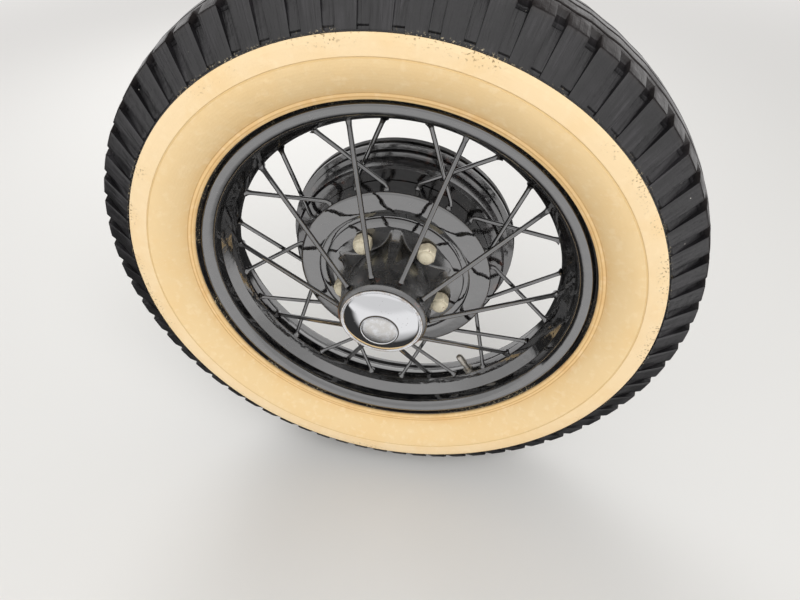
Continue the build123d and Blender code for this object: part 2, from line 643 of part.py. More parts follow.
# Brake camshaft, its bush and lever, and the adjuster
def build_bush():
    outside = rod(polar(BRAKE_OFFSET, CAMSHAFT_ANGLE, PLATE_BACK),
                  polar(BRAKE_OFFSET, CAMSHAFT_ANGLE, PLATE_BACK + BUSH_LENGTH),
                  BUSH_RADIUS, BUSH_RADIUS - BOSS_TAPER)
    return outside - pin(CAMSHAFT_RADIUS, PLATE_BACK, PLATE_BACK + BUSH_LENGTH, BRAKE_OFFSET, CAMSHAFT_ANGLE)


def build_camshaft():
    end = PLATE_BACK + BUSH_LENGTH + LEVER_THICKNESS + CAMSHAFT_TIP
    return pin(CAMSHAFT_RADIUS, CAMSHAFT_START, end, BRAKE_OFFSET, CAMSHAFT_ANGLE)


def build_lever():
    """Forged arm hanging from the camshaft, tapering to the eye of the brake rod."""
    start = PLATE_BACK + BUSH_LENGTH
    face = Plane(origin=polar(BRAKE_OFFSET, CAMSHAFT_ANGLE, start), x_dir=(1, 0, 0), z_dir=(0, 1, 0))
    boss = Circle(LEVER_BOSS_RADIUS)
    eye = Pos(0, LEVER_LENGTH) * Circle(LEVER_EYE_RADIUS)
    wide = LEVER_BOSS_RADIUS * LEVER_WAIST
    narrow = LEVER_EYE_RADIUS * LEVER_WAIST
    blade = Polygon((-wide, 0), (wide, 0), (narrow, LEVER_LENGTH), (-narrow, LEVER_LENGTH), align=None)
    holes = Circle(CAMSHAFT_RADIUS) + Pos(0, LEVER_LENGTH) * Circle(LEVER_HOLE_RADIUS)
    return extrude(face * (boss + eye + blade - holes), LEVER_THICKNESS)


def build_adjuster():
    boss_end = PLATE_BACK + ADJUSTER_BOSS_LENGTH
    boss = rod(polar(BRAKE_OFFSET, ADJUSTER_ANGLE, PLATE_BACK), polar(BRAKE_OFFSET, ADJUSTER_ANGLE, boss_end),
               ADJUSTER_BOSS_RADIUS, ADJUSTER_BOSS_RADIUS - BOSS_TAPER)
    stem = prism(ADJUSTER_SQUARE, 4, boss_end, boss_end + ADJUSTER_STEM, BRAKE_OFFSET, ADJUSTER_ANGLE)
    return boss + stem


def build_valve(rim):
    seat = polar(WELL_RADIUS + RIM_SHEET / 2, VALVE_ANGLE, MIDDLE)
    end = polar(WELL_RADIUS - VALVE_LENGTH, VALVE_ANGLE, MIDDLE)
    cap_start = polar(WELL_RADIUS - VALVE_LENGTH + VALVE_CAP_LENGTH, VALVE_ANGLE, MIDDLE)
    nut_end = polar(WELL_RADIUS - VALVE_NUT_THICKNESS, VALVE_ANGLE, MIDDLE)
    body = rod(seat, end, VALVE_RADIUS) + rod(cap_start, end, VALVE_CAP_RADIUS) + Pos(end) * Sphere(VALVE_CAP_RADIUS)
    body = body + rod(seat, nut_end, VALVE_NUT_FLATS / 2)
    return biggest(body - rim)


def build_all():
    rim = build_rim()
    shell = build_shell()
    whitewall = build_whitewall(rim)
    return {
        "tyre": build_tyre(rim) - whitewall,
        "whitewall": whitewall,
        "rim": rim,
        "hub_shell": shell,
        "spokes_front": front_spokes(rim, shell),
        "spokes_rear_leading": rear_spokes(-1, LEADING_HUB_PLACE, rim, shell),
        "spokes_rear_trailing": rear_spokes(1, TRAILING_HUB_PLACE, rim, shell),
        "valve": build_valve(rim),
        "lug_studs": build_studs(),
        "lug_nuts": build_nuts(),
        "hub_cap": build_cap(),
        "cap_medallion": build_medallion(),
        "brake_drum": build_drum(),
        "wheel_hub": build_hub(),
        "axle_shaft": build_shaft(),
        "axle_nut": build_axle_nut(),
        "axle_washer": build_washer(),
        "axle_housing": build_housing(),
        "backing_plate": build_plate(),
        "plate_bolts": build_plate_bolts(),
        "camshaft_bush": build_bush(),
        "brake_camshaft": build_camshaft(),
        "brake_lever": build_lever(),
        "brake_adjuster": build_adjuster(),
    }


os.makedirs("parts", exist_ok=True)
for node, shape in build_all().items():
    export_step(shape, f"parts/{node}.step")
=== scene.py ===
# %% [markdown]
# A wire-spoked rear wheel, dressed in Blender
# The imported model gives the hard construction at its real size. This script adds the tread, the
# finishes, the floor, the lamps and the camera. One wheel and its axle end were modelled because that is
# what the photograph shows.

# %% Load the frame
import json
import math

import bmesh
import bpy
import numpy as np
from mathutils import Matrix, Vector


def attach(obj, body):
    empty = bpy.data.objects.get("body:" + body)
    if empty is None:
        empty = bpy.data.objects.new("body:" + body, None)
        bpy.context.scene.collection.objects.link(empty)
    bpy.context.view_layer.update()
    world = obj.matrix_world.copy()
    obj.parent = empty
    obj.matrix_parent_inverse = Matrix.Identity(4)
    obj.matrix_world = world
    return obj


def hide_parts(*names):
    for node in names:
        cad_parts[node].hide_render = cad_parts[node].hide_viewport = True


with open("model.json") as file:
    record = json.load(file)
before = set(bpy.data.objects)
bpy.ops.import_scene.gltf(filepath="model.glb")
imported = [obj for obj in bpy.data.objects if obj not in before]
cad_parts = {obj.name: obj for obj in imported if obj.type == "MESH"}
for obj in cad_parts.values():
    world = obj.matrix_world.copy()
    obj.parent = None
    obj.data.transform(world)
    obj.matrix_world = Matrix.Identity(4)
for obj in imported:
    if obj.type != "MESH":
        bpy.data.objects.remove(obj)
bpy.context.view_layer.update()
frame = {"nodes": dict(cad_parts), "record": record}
NODES = frame["nodes"]

# %% [markdown]
# The camera stands where the photograph was taken: in front of the wheel, a little above the tyre,
# looking down at it. Its place and turn come from matching the rim's circle, the tyre's outline and the
# spokes. The lens is wide.

# %% Camera
CAMERA_PLACE = Vector((0.10736, -0.78818, 0.47943))
CAMERA_RIGHT = Vector((0.9864, 0.1642, -0.0119))
CAMERA_UP = Vector((-0.1026, 0.6699, 0.7353))
LENS = 24.744
SENSOR = 36.0

camera_data = bpy.data.cameras.new("camera")
camera_data.lens = LENS
camera_data.sensor_width = SENSOR
camera_data.clip_start = 0.01
camera = bpy.data.objects.new("camera", camera_data)
bpy.context.scene.collection.objects.link(camera)
back = CAMERA_RIGHT.cross(CAMERA_UP).normalized()
right = CAMERA_UP.cross(back).normalized()
up = back.cross(right)
camera.matrix_world = Matrix.Translation(CAMERA_PLACE) @ Matrix((right, up, back)).transposed().to_4x4()
bpy.context.scene.camera = camera
print("camera at", tuple(CAMERA_PLACE))

# %% [markdown]
# Every round piece of a wheel is easiest to describe by its section: a row of corners, each with its
# radius and its place along the axle, in millimetres. Places count inboard from a plane just outboard of
# the rim. A section carried round the axle gives a closed ring. Hard corners are marked so that they
# stay crisp when shaded.

# %% Sections
MM = 0.001
DATUM = -266.0
MIDDLE = 48.0
CRISP = math.radians(32)


def spots(radius, place, angle):
    """Points in metres, from arrays of radius and place in millimetres and of the angle round the axle."""
    radius, place, angle = np.broadcast_arrays(radius, place, angle)
    return np.stack([radius * np.cos(angle), DATUM + place, radius * np.sin(angle)], axis=-1) * MM


def mirrored(section):
    """The same corners on the inboard side of the wheel's middle plane, in turned order."""
    return [(radius, 2 * MIDDLE - place) for radius, place in reversed(section)]


def to_object(name, verts, faces):
    """A smooth-shaded object with outward faces and crisp hard corners."""
    mesh = bpy.data.meshes.new(name)
    mesh.from_pydata([tuple(v) for v in verts], [], faces)
    work = bmesh.new()
    work.from_mesh(mesh)
    bmesh.ops.remove_doubles(work, verts=work.verts, dist=1e-6)
    bmesh.ops.recalc_face_normals(work, faces=work.faces)
    work.to_mesh(mesh)
    work.free()
    mesh.polygons.foreach_set("use_smooth", [True] * len(mesh.polygons))
    mesh.set_sharp_from_angle(angle=CRISP)
    obj = bpy.data.objects.new(name, mesh)
    bpy.context.scene.collection.objects.link(obj)
    return obj


def grid_faces(rows, columns, wrap_rows, wrap_columns):
    """Quads between neighbouring rows and columns of points."""
    faces = []
    for i in range(rows if wrap_rows else rows - 1):
        for j in range(columns if wrap_columns else columns - 1):
            here = i * columns
            below = ((i + 1) % rows) * columns
            beside = (j + 1) % columns
            faces.append((here + j, here + beside, below + beside, below + j))
    return faces


def capped_faces(rows, columns):
    """The quads of a rod from its first ring to its last, and a flat face at each end."""
    last = (rows - 1) * columns
    ends = [tuple(range(columns))[::-1], tuple(range(last, last + columns))]
    return grid_faces(rows, columns, False, True) + ends


def spun(name, section, steps=240):
    """A ring with the closed section, round the axle."""
    corners = np.array(section, float)
    angles = np.arange(steps) * 2 * math.pi / steps
    grid = spots(corners[:, None, 0], corners[:, None, 1], angles[None, :])
    return to_object(name, grid.reshape(-1, 3), grid_faces(len(section), steps, True, True))


print("places count from", DATUM, "mm; the wheel's middle is at", MIDDLE)

# %% [markdown]
# What repeats round the axle is made once. A Geometry Nodes tree sets copies of it at even turns, makes
# them real and welds the points where they meet. The same small function adds nodes here and in the
# materials.

# %% Repeat round the axle
def add(tree, kind, links=(), values=None, **settings):
    """A new node with its settings, its plain input values and its links from sockets to inputs."""
    node = tree.nodes.new(kind)
    for key, value in settings.items():
        setattr(node, key, value)
    for key, value in (values or {}).items():
        node.inputs[key].default_value = value
    for source, target in links:
        tree.links.new(source, node.inputs[target])
    return node


def repeat_tree():
    """Geometry Nodes: copies of a mesh evenly round the axle, welded where they meet."""
    tree = bpy.data.node_groups.new("Repeat round the axle", "GeometryNodeTree")
    face = tree.interface
    face.new_socket("Geometry", in_out="INPUT", socket_type="NodeSocketGeometry")
    face.new_socket("Count", in_out="INPUT", socket_type="NodeSocketInt")
    face.new_socket("Weld", in_out="INPUT", socket_type="NodeSocketFloat")
    face.new_socket("Material", in_out="INPUT", socket_type="NodeSocketMaterial")
    face.new_socket("Geometry", in_out="OUTPUT", socket_type="NodeSocketGeometry")

    source = add(tree, "NodeGroupInput").outputs
    line = add(tree, "GeometryNodeMeshLine", [(source["Count"], "Count")], {"Offset": (0, 0, 0)})
    number = add(tree, "GeometryNodeInputIndex").outputs[0]
    share = add(tree, "ShaderNodeMath", [(number, 0), (source["Count"], 1)], operation="DIVIDE").outputs[0]
    turn = add(tree, "ShaderNodeMath", [(share, 0)], {1: -2 * math.pi}, operation="MULTIPLY").outputs[0]
    angles = add(tree, "ShaderNodeCombineXYZ", [(turn, "Y")]).outputs[0]
    copies = add(tree, "GeometryNodeInstanceOnPoints", [
        (line.outputs[0], "Points"), (source["Geometry"], "Instance"), (angles, "Rotation"),
    ]).outputs[0]
    real = add(tree, "GeometryNodeRealizeInstances", [(copies, 0)]).outputs[0]
    joints = [(real, "Geometry"), (source["Weld"], "Distance")]
    welded = add(tree, "GeometryNodeMergeByDistance", joints).outputs[0]
    dress = [(welded, 0), (source["Material"], "Material")]
    finished = add(tree, "GeometryNodeSetMaterial", dress).outputs[0]
    add(tree, "NodeGroupOutput", [(finished, 0)])
    return tree


REPEAT = repeat_tree()


def repeated(obj, count, weld=0.0, material=None):
    """The object's mesh, repeated round the axle and made real."""
    modifier = obj.modifiers.new("repeat", "NODES")
    modifier.node_group = REPEAT
    sockets = {s.name: s.identifier for s in REPEAT.interface.items_tree if s.in_out == "INPUT"}
    modifier[sockets["Count"]] = count
    modifier[sockets["Weld"]] = weld
    modifier[sockets["Material"]] = material
    ready = obj.evaluated_get(bpy.context.evaluated_depsgraph_get())
    mesh = bpy.data.meshes.new_from_object(ready)
    obj.modifiers.remove(modifier)
    obj.data = mesh
    mesh.polygons.foreach_set("use_smooth", [True] * len(mesh.polygons))
    mesh.set_sharp_from_angle(angle=CRISP)
    print(obj.name, len(mesh.polygons), "faces")
    return obj


# %% [markdown]
# The tyre's shoulder is cut into blocks by slots that run out from the white rubber and over the tread's
# corner. There are 67 of them. One of the 67 is built as a grid: rows follow the section, columns go
# round the axle. The crown's ribs aren't seen in the photograph, so they are plain zigzag ribs, as tyres
# of that time had.

# %% Tread
BLOCKS = 67
BLOCK_PHASE = math.radians(87.23)
WHITE_EDGE = np.array((328.6, -28.7))
SHOULDER = np.array((372.0, -5.0))
CROWN_CENTRE = 200.4
CROWN_RADIUS = 179.6
SLOPE = (SHOULDER - WHITE_EDGE) / np.linalg.norm(SHOULDER - WHITE_EDGE)
SLOPE_IN = np.array((-SLOPE[1], SLOPE[0]))
SLOPE_LENGTH = float(np.linalg.norm(SHOULDER - WHITE_EDGE))
HALF_CROWN = CROWN_RADIUS * math.asin((MIDDLE - SHOULDER[1]) / CROWN_RADIUS)

# Each column's share of the unit, its share of the slot's depth, and its easing of the block's edge.
COLUMNS = np.array([0.0, 0.02, 0.16, 0.32, 0.48, 0.625, 0.645, 0.655, 0.74, 0.9, 0.99, 1.0])
CUT = np.array([0.0, 0.0, 0.0, 0.0, 0.0, 0.0, 0.0, 1.0, 1.0, 1.0, 1.0, 0.0])
EASE = np.array([0.35, 0.0, 0.0, 0.0, 0.0, 0.0, 0.35, 0.0, 0.25, 0.25, 0.0, 0.35])
ZIGZAG = 2.4
ZIGZAG_EDGE = 34.0
ZIGZAG_FADE = 4.0
GROOVE_DEPTH = 5.5
GROOVE_EDGE = 0.4
GROOVE_SIDE = 0.6


def slope_row(run, depth, ease=1.0):
    """Row on the shoulder's slope: distance from the white rubber, and the slot's depth there."""
    return (WHITE_EDGE + SLOPE * run, SLOPE_IN, depth, ease, 0.0)


def crown_row(out, depth=0.0, cut=0.0, ease=0.0):
    """Row on the crown: distance from the middle, depth of a groove all round, and depth of the slots."""
    lean = out / CROWN_RADIUS
    inward = np.array((-math.cos(lean), math.sin(lean)))
    spot = np.array((CROWN_CENTRE, MIDDLE)) - (CROWN_RADIUS - depth) * inward
    sway = max(0.0, min(1.0, (ZIGZAG_EDGE - out) / ZIGZAG_FADE))
    return (spot, inward, cut, ease, sway)


def groove_rows(outer, inner):
    """Rows across a groove all round the crown, from its outer edge to its inner one."""
    return [
        crown_row(outer + GROOVE_SIDE, GROOVE_EDGE), crown_row(outer, GROOVE_DEPTH),
        crown_row(inner, GROOVE_DEPTH), crown_row(inner - GROOVE_SIDE, GROOVE_EDGE),
    ]


SHOULDER_ROWS = [slope_row(run, depth) for run, depth in [
    (2.2, 0.0), (2.9, 2.9), (5.4, 3.1), (7.0, 1.6), (14.0, 2.4), (22.0, 3.4), (30.3, 4.6), (31.0, 4.7),
    (39.0, 5.8), (SLOPE_LENGTH - 2.2, 7.2),
]]
SHOULDER_ROWS += [slope_row(SLOPE_LENGTH - 1.0, 7.6, 1.6)]
CROWN_ROWS = [crown_row(HALF_CROWN - 0.7, cut=7.8, ease=1.6)]
CROWN_ROWS += [crown_row(out, cut=cut, ease=1.0) for out, cut in [
    (HALF_CROWN - 2.0, 7.8), (46.0, 7.2), (41.0, 6.4), (37.0, 5.6), (35.6, 4.0), (35.0, 0.0),
]]
CROWN_ROWS += [crown_row(33.0), crown_row(29.9)] + groove_rows(28.9, 25.1) + [crown_row(24.1)]
CROWN_ROWS += [crown_row(17.5), crown_row(11.9)] + groove_rows(10.9, 7.1) + [crown_row(6.1), crown_row(0.0)]
TREAD = SHOULDER_ROWS + CROWN_ROWS
print("tread rows", len(TREAD), "on a slope of", round(SLOPE_LENGTH, 1), "mm")

# %% [markdown]
# The sidewall's outline runs from the bead by the rim to the tread. Two low ribs stand beside the rim,
# the broad face bulges, and a fine groove sets off a paler band. The same outline, mirrored, is the
# plain black back. Geometry Nodes set the block and its slice of both sidewalls 67 times round the wheel
# and weld them to one closed tyre.

# %% Tyre
# Corners as radius and place.
SIDE_BEAD = [(258.2, -0.9), (258.5, -2.7), (259.6, -3.9)]
SIDE_RIBS = [(261.5, -4.7), (263.2, -5.2), (264.5, -5.5), (265.6, -5.5), (266.3, -5.6), (267.0, -6.3)]
SIDE_BULGE = [
    (269.0, -8.2), (272.0, -10.7), (275.0, -13.0), (280.0, -16.6), (285.0, -19.7), (290.0, -22.3),
    (296.0, -25.0), (301.0, -26.6),
]
SIDE_GROOVE = [(305.8, -27.65), (306.5, -27.35), (307.0, -27.2), (307.5, -27.4), (308.2, -28.0)]
SIDE_BAND = [(314.0, -28.5), (321.0, -28.75), (327.5, -28.7)]
SIDE_FACE = SIDE_BEAD + SIDE_RIBS + SIDE_BULGE + SIDE_GROOVE + SIDE_BAND
BEAD_SEAT = [
    (258.9, 3.0), (258.4, 7.2), (249.0, 5.9), (243.5, 7.6), (239.3, 15.0), (238.4, 23.0), (258.5, 21.5),
]
LINING = [(275.0, -3.0), (305.0, -18.0), (328.6, -19.0), (355.0, 4.0)]
LINING_CROWN = (363.0, MIDDLE)
RECESS_START = (259.0, 2.2)
RECESS_DEPTH = 3.0
RECESS_EDGE = [(328.6, -25.7), (328.9, -27.1), (330.2, -26.6)]


def row_points(row, angles):
    """The row's points across one unit of the tread."""
    spot, inward, depth, ease, sway = row
    drop = depth * CUT + ease * EASE
    zigzag = ZIGZAG * sway * (4 * np.abs(COLUMNS - 0.5) - 1)
    return spots(spot[0] + inward[0] * drop, spot[1] + inward[1] * drop + zigzag, angles)


def plain_rows(corners, angles):
    """Rows with no slots, one for each corner."""
    return [spots(radius, place, angles) for radius, place in corners]


def far_row(row):
    """The row on the inboard side of the wheel's middle plane."""
    spot, inward, depth, ease, sway = row
    return (np.array((spot[0], 2 * MIDDLE - spot[1])), np.array((inward[0], -inward[1])), depth, ease, sway)


def build_tyre():
    """The whole tyre, from one of its 67 slices."""
    angles = BLOCK_PHASE + 2 * math.pi / BLOCKS * COLUMNS
    recess = [(radius, place + RECESS_DEPTH) for radius, place in SIDE_FACE[4:-1:3]]
    inner = BEAD_SEAT + LINING
    far_inner = [(radius, 2 * MIDDLE - place) for radius, place in inner]
    rows = plain_rows([RECESS_START] + recess + RECESS_EDGE, angles)
    rows += [row_points(row, angles) for row in TREAD + [far_row(row) for row in reversed(TREAD[:-1])]]
    rows += plain_rows(mirrored(SIDE_FACE) + far_inner + [LINING_CROWN] + inner[::-1], angles)
    grid = np.array(rows)
    faces = grid_faces(grid.shape[0], grid.shape[1], True, False)
    return repeated(to_object("tyre_with_tread", grid.reshape(-1, 3), faces), BLOCKS, weld=2e-5)


tyre = build_tyre()
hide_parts("tyre")
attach(tyre, "wheel")

# %% [markdown]
# The white rubber is a ring about 3 mm thick, let into the tyre's side. Its face is the sidewall's
# outline and its underside is the same line moved inward, so it lies closely in the tyre's recess.

# %% White sidewall
WHITE_THICKNESS = 2.95
WHITE_END = [(328.4, -28.4), (328.6, -27.9)]
WHITE_FOOT = (259.6, 1.9)

white_under = [(radius, place + WHITE_THICKNESS) for radius, place in reversed(SIDE_FACE[3:])]
whitewall = spun("cream_sidewall", SIDE_FACE + WHITE_END + white_under + [WHITE_FOOT], 300)
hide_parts("whitewall")
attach(whitewall, "wheel")
print("white sidewall", len(whitewall.data.polygons), "faces")

# %% [markdown]
# The rim is rolled from one strip of steel: a rolled lip, a flange, a seat for the tyre's bead, a slope
# and a deep well, then the same again on the far side. Its gloss shows every unevenness, so it is spun
# finely. The visible side is a line of corners with real bend radii, and the sheet's other side is that
# line moved out by its thickness.

# %% Rim
SHEET = 3.0
CURL = 1.9
LIP = (256.6, 5.0)
FAR_LIP = (LIP[0], 2 * MIDDLE - LIP[1])

# Corners as radius, place and bend radius.
WELL = [(233.8, 20.5, 3.0), (224.2, 33.3, 4.0), (219.0, 42.0, 6.0)]
FRONT_HALF = [(257.6, 8.6, 0.0), (251.8, 0.9, 4.2), (235.8, -0.57, 12.5)] + WELL
BACK_HALF = [(LIP[0], LIP[1] - CURL, 0.0), (235.8, -0.57, 13.3)] + WELL


def rounded(corners, steps=7):
    """Points along a line of corners, with an arc at each."""
    points = [np.array(corners[0][:2])]
    for before, corner, after in zip(corners, corners[1:], corners[2:]):
        tip = np.array(corner[:2])
        bend = corner[2]
        a = np.array(before[:2]) - tip
        b = np.array(after[:2]) - tip
        a = a / np.linalg.norm(a)
        b = b / np.linalg.norm(b)
        half = math.acos(float(a @ b)) / 2
        centre = tip + (a + b) / np.linalg.norm(a + b) * bend / math.sin(half)
        start = tip + a * bend / math.tan(half) - centre
        end = tip + b * bend / math.tan(half) - centre
        for share in np.linspace(0, 1, steps):
            way = start * (1 - share) + end * share
            points.append(centre + way / np.linalg.norm(way) * bend)
    points.append(np.array(corners[-1][:2]))
    return points


def moved_out(points, distance):
    """The line of points, moved to its tyre side."""
    line = np.array(points)
    way = np.gradient(line, axis=0)
    way = way / np.linalg.norm(way, axis=1)[:, None]
    return [tuple(p) for p in line + distance * np.stack([way[:, 1], -way[:, 0]], axis=1)]


def arc(centre, radius, start, end, steps):
    """Points on a circle, by angles in degrees from +radius toward +place."""
    turn = np.radians(np.linspace(start, end, steps))
    return [(centre[0] + radius * math.cos(t), centre[1] + radius * math.sin(t)) for t in turn]


far_half = [(radius, 2 * MIDDLE - place, bend) for radius, place, bend in reversed(BACK_HALF)]
inside = rounded(FRONT_HALF + far_half)
outside = moved_out(inside, SHEET)
rim_section = [tuple(p) for p in inside] + arc(FAR_LIP, CURL, 80, -80, 9) + outside[::-1]
rim = spun("rolled_rim", rim_section, 300)
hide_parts("rim")
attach(rim, "wheel")
print("rim", len(rim_section), "corners in the section")

# %% [markdown]
# The spokes are plain round rods, welded to the rim's well and to the hub. Ten stand in front, and two
# rows of ten cross behind them. A rod is a circle carried along a path, wider where weld metal spreads
# at its ends. One rod of each row is made and Geometry Nodes set the ten.

# %% Rods
SPOKES = 10
SPOKE_PHASE = 67.3
WELL_RADIUS = 219.6


def tube(name, path, radii, sides=14, rough=0.0, seed=1):
    """A closed rod round the path's points, in metres, with a radius in millimetres at each."""
    rng = np.random.default_rng(seed)
    points = np.array([tuple(p) for p in path])
    way = np.gradient(points, axis=0)
    way = way / np.linalg.norm(way, axis=1)[:, None]
    turn = np.arange(sides) * 2 * math.pi / sides
    side = np.cross(way[0], (0.0, 1.0, 0.0))
    rings = []
    for i, (point, along) in enumerate(zip(points, way)):
        side = side - along * (side @ along)
        side = side / np.linalg.norm(side)
        other = np.cross(along, side)
        weld = radii[i] > min(radii) * 1.05
        radius = radii[i] * MM * (1 + rough * rng.uniform(-1, 1, sides) * weld)
        round_rod = (radius * np.cos(turn))[:, None] * side + (radius * np.sin(turn))[:, None] * other
        rings.append(point + round_rod)
    return to_object(name, np.concatenate(rings), capped_faces(len(rings), sides))


def along_line(start, end, marks):
    """Points on a line at distances in millimetres from its start, or from its end where negative."""
    span = (end - start).length / MM
    return [start.lerp(end, (mark if mark >= 0 else span + mark) / span) for mark in marks]


def spot(radius, degrees, place):
    """One point in metres, with its angle in degrees."""
    return Vector(spots(radius, place, math.radians(degrees)))


print("rods", 3 * SPOKES, "in three rows")

# %% [markdown]
# A front rod is straight. A rear rod ends in a foot: near the hub it bends inward onto its weld, along a
# curve that three points guide. The weld's beads are uneven, so the rings near each end are a little
# rough.

# %% Spokes
REAR_BEND = 133.0
REAR_FOOT = 126.6
REAR_RIM_PLACE = 46.0
HUB_TURN = 9.7
RIM_TURN = 11.4
FRONT_HUB_END = (57.2, SPOKE_PHASE, -36.5)
FRONT_RIM_END = (WELL_RADIUS, SPOKE_PHASE, 52.0)

# Distances along a front rod, from its rim end to its hub end, and its radius at each, in millimetres.
front_marks = [-0.01, -1.5, -2.6, -4.0, -6.5, -10.0, -40.0, 60.0, 12.0, 6.0, 4.4, 3.2, 2.2, 0.0]
front_radii = [6.4, 5.6, 4.7, 4.0, 3.45, 3.175, 3.175, 3.175, 3.175, 3.2, 3.25, 3.35, 3.6, 3.9]
front_path = along_line(spot(*FRONT_HUB_END), spot(*FRONT_RIM_END), front_marks)
front = repeated(tube("front_spokes", front_path, front_radii, rough=0.06), SPOKES)
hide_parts("spokes_front")


def rear_row(name, side, hub_place, node):
    """Ten rods from the rim's well to the hub's barrel, where each bends inward onto its weld."""
    hub_angle = SPOKE_PHASE - side * HUB_TURN
    bend = spot(REAR_BEND, hub_angle, hub_place)
    foot = spot(REAR_FOOT, hub_angle, hub_place)
    rim_end = spot(WELL_RADIUS, SPOKE_PHASE + side * RIM_TURN, REAR_RIM_PLACE)
    straight = along_line(bend, rim_end, [-0.01, -1.4, -2.4, -3.6, -5.6, -9.0, -30.0, 30.0, 5.0])
    start = straight[-1]
    end = bend.lerp(foot, 0.55)
    turn = [start.lerp(bend, t).lerp(bend.lerp(end, t), t) for t in (0.25, 0.5, 0.75, 1.0)]
    path = straight + turn + [bend.lerp(foot, t) for t in (0.75, 0.9, 1.0)]
    radii = [5.8, 5.1, 4.3, 3.6, 3.05, 2.8, 2.8, 2.8, 2.8, 2.8, 2.85, 2.9, 3.1, 3.9, 4.6, 5.0]
    row = repeated(tube(name, path, radii, rough=0.09, seed=hub_place), SPOKES)
    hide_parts(node)
    return row


leading = rear_row("rear_spokes_leading", -1, 61, "spokes_rear_leading")
trailing = rear_row("rear_spokes_trailing", 1, 48, "spokes_rear_trailing")
for row in (front, leading, trailing):
    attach(row, "wheel")

# %% [markdown]
# The hub's shell is pressed from thick sheet: a nose for the cap, a cone that flares to the lug seats,
# and a broad flange that turns back into a barrel. A pocket is pushed in at each of the five lugs, so
# the cone is left as five webs. The cone's outline can be worked out at any place along the axle, always
# with the same number of points.

# %% Cone outline
LUGS = 5
LUG_PHASE = 49.4
LUG_FACE = 32.5
NOSE = (57.0, -46.0)
CONE_RISE = 9.0 / 51.0
FLARE = np.array([(66.0, 5.0), (68.64, 23.15), (78.0, LUG_FACE)])
POCKET = 57.0
POCKET_OFFSET = 106.0
POCKET_WALL = 49.5
POCKET_DRAFT = 0.09
WALL_DRAFT = 0.25
BESIDE_POCKET = 3.0
CORNER_EASE = 1.5
EDGE_EASE = 0.8
SECTOR = math.pi / LUGS

# Angles from a web's middle to a pocket's, closer together where the pocket's edge runs.
SPREAD = np.radians(np.concatenate([
    np.linspace(36.0, 25.0, 15, endpoint=False), np.linspace(25.0, 13.0, 10, endpoint=False),
    np.linspace(13.0, 0.0, 7, endpoint=False),
]))
WHOLE_SPREAD = np.concatenate([-SPREAD, [0.0], SPREAD[:0:-1]])
ROUND = np.concatenate([math.radians(LUG_PHASE) + 2 * SECTOR * k + WHOLE_SPREAD for k in range(LUGS)])


def cone_radius(place):
    """Radius of the cone and its flare at a place; the flare is an arc through three points."""
    if place <= FLARE[0][1]:
        return NOSE[0] + (place - NOSE[1]) * CONE_RISE
    system = np.column_stack([2 * FLARE, np.ones(3)])
    out, along, rest = np.linalg.solve(system, (FLARE ** 2).sum(axis=1))
    bend = math.sqrt(rest + out * out + along * along)
    return out - math.sqrt(max(bend * bend - (min(place, LUG_FACE) - along) ** 2, 0.0))


def eased_least(a, b, ease):
    """The smaller of two values, rounded off over a distance where they cross."""
    return -ease * np.logaddexp(-a / ease, -b / ease)


def half_outline(place):
    """Radius at each angle of the spread: the cone, cut back by the pocket's side and inner wall."""
    height = LUG_FACE - place
    reach = (POCKET + POCKET_DRAFT * height) ** 2 - (POCKET_OFFSET * np.sin(SPREAD)) ** 2
    side = POCKET_OFFSET * np.cos(SPREAD) - np.sqrt(np.maximum(reach, 0.0))
    side = np.where(reach > 0.0, side, side + BESIDE_POCKET * np.sqrt(np.maximum(-reach, 0.0)))
    wall = np.full_like(side, POCKET_WALL + WALL_DRAFT * height)
    cut = -eased_least(-side, -wall, CORNER_EASE)
    return eased_least(np.full_like(cut, cone_radius(place)), cut, EDGE_EASE + POCKET_DRAFT * height)


def full_outline(place):
    """The whole outline as X and Z in millimetres, in order round the axle."""
    height = LUG_FACE - place
    ease = EDGE_EASE + POCKET_DRAFT * height
    middle = eased_least(cone_radius(place), POCKET_WALL + WALL_DRAFT * height, ease)
    half = half_outline(place)
    radii = np.concatenate([half, [middle], half[:0:-1]])
    return np.tile(radii, LUGS)[:, None] * np.stack([np.cos(ROUND), np.sin(ROUND)], axis=1)


print("cone radius from", cone_radius(NOSE[1]), "to", round(cone_radius(LUG_FACE), 2), "mm")

# %% [markdown]
# A press can't make a sharp corner. Averaging each point of an outline with its neighbours, along it and
# from one outline to the next, rounds the webs as a press does. At the bottom the outline is moved
# outward, which gives the fillet where the webs run into the face.

# %% Cone
CONE_PLACES = [
    -46.0, -43.0, -39.0, -35.0, -30.0, -25.0, -21.0, -17.0, -13.0, -9.0, -5.0, -1.0, 3.0, 6.5, 10.0, 13.0,
    16.0, 19.0, 21.5, 24.0, 26.0, 28.0, 29.5,
]

# Place the outline is taken at, place it is set at, and distance it is moved outward.
FILLET = [(30.4, 30.9, 0.3), (31.2, 31.7, 0.8), (31.9, 32.2, 1.6), (32.4, 32.5, 2.7)]


def softened(rows, rounds=3, down=True):
    """Each point averaged with its neighbours in the row, and across all but the first and last rows."""
    for _ in range(rounds):
        rows = (np.roll(rows, 1, axis=1) + 2 * rows + np.roll(rows, -1, axis=1)) / 4
        if down:
            rows[1:-1] = (rows[:-2] + 2 * rows[1:-1] + rows[2:]) / 4
    return rows


def outward(outline, distance):
    """The closed outline moved away from the axle by a distance."""
    way = np.roll(outline, -1, axis=0) - np.roll(outline, 1, axis=0)
    way = way / np.linalg.norm(way, axis=1)[:, None]
    return outline + distance * np.stack([way[:, 1], -way[:, 0]], axis=1)


def ring(radius):
    """A round outline with the same angles as the cone's."""
    return np.stack([radius * np.cos(ROUND), radius * np.sin(ROUND)], axis=1)


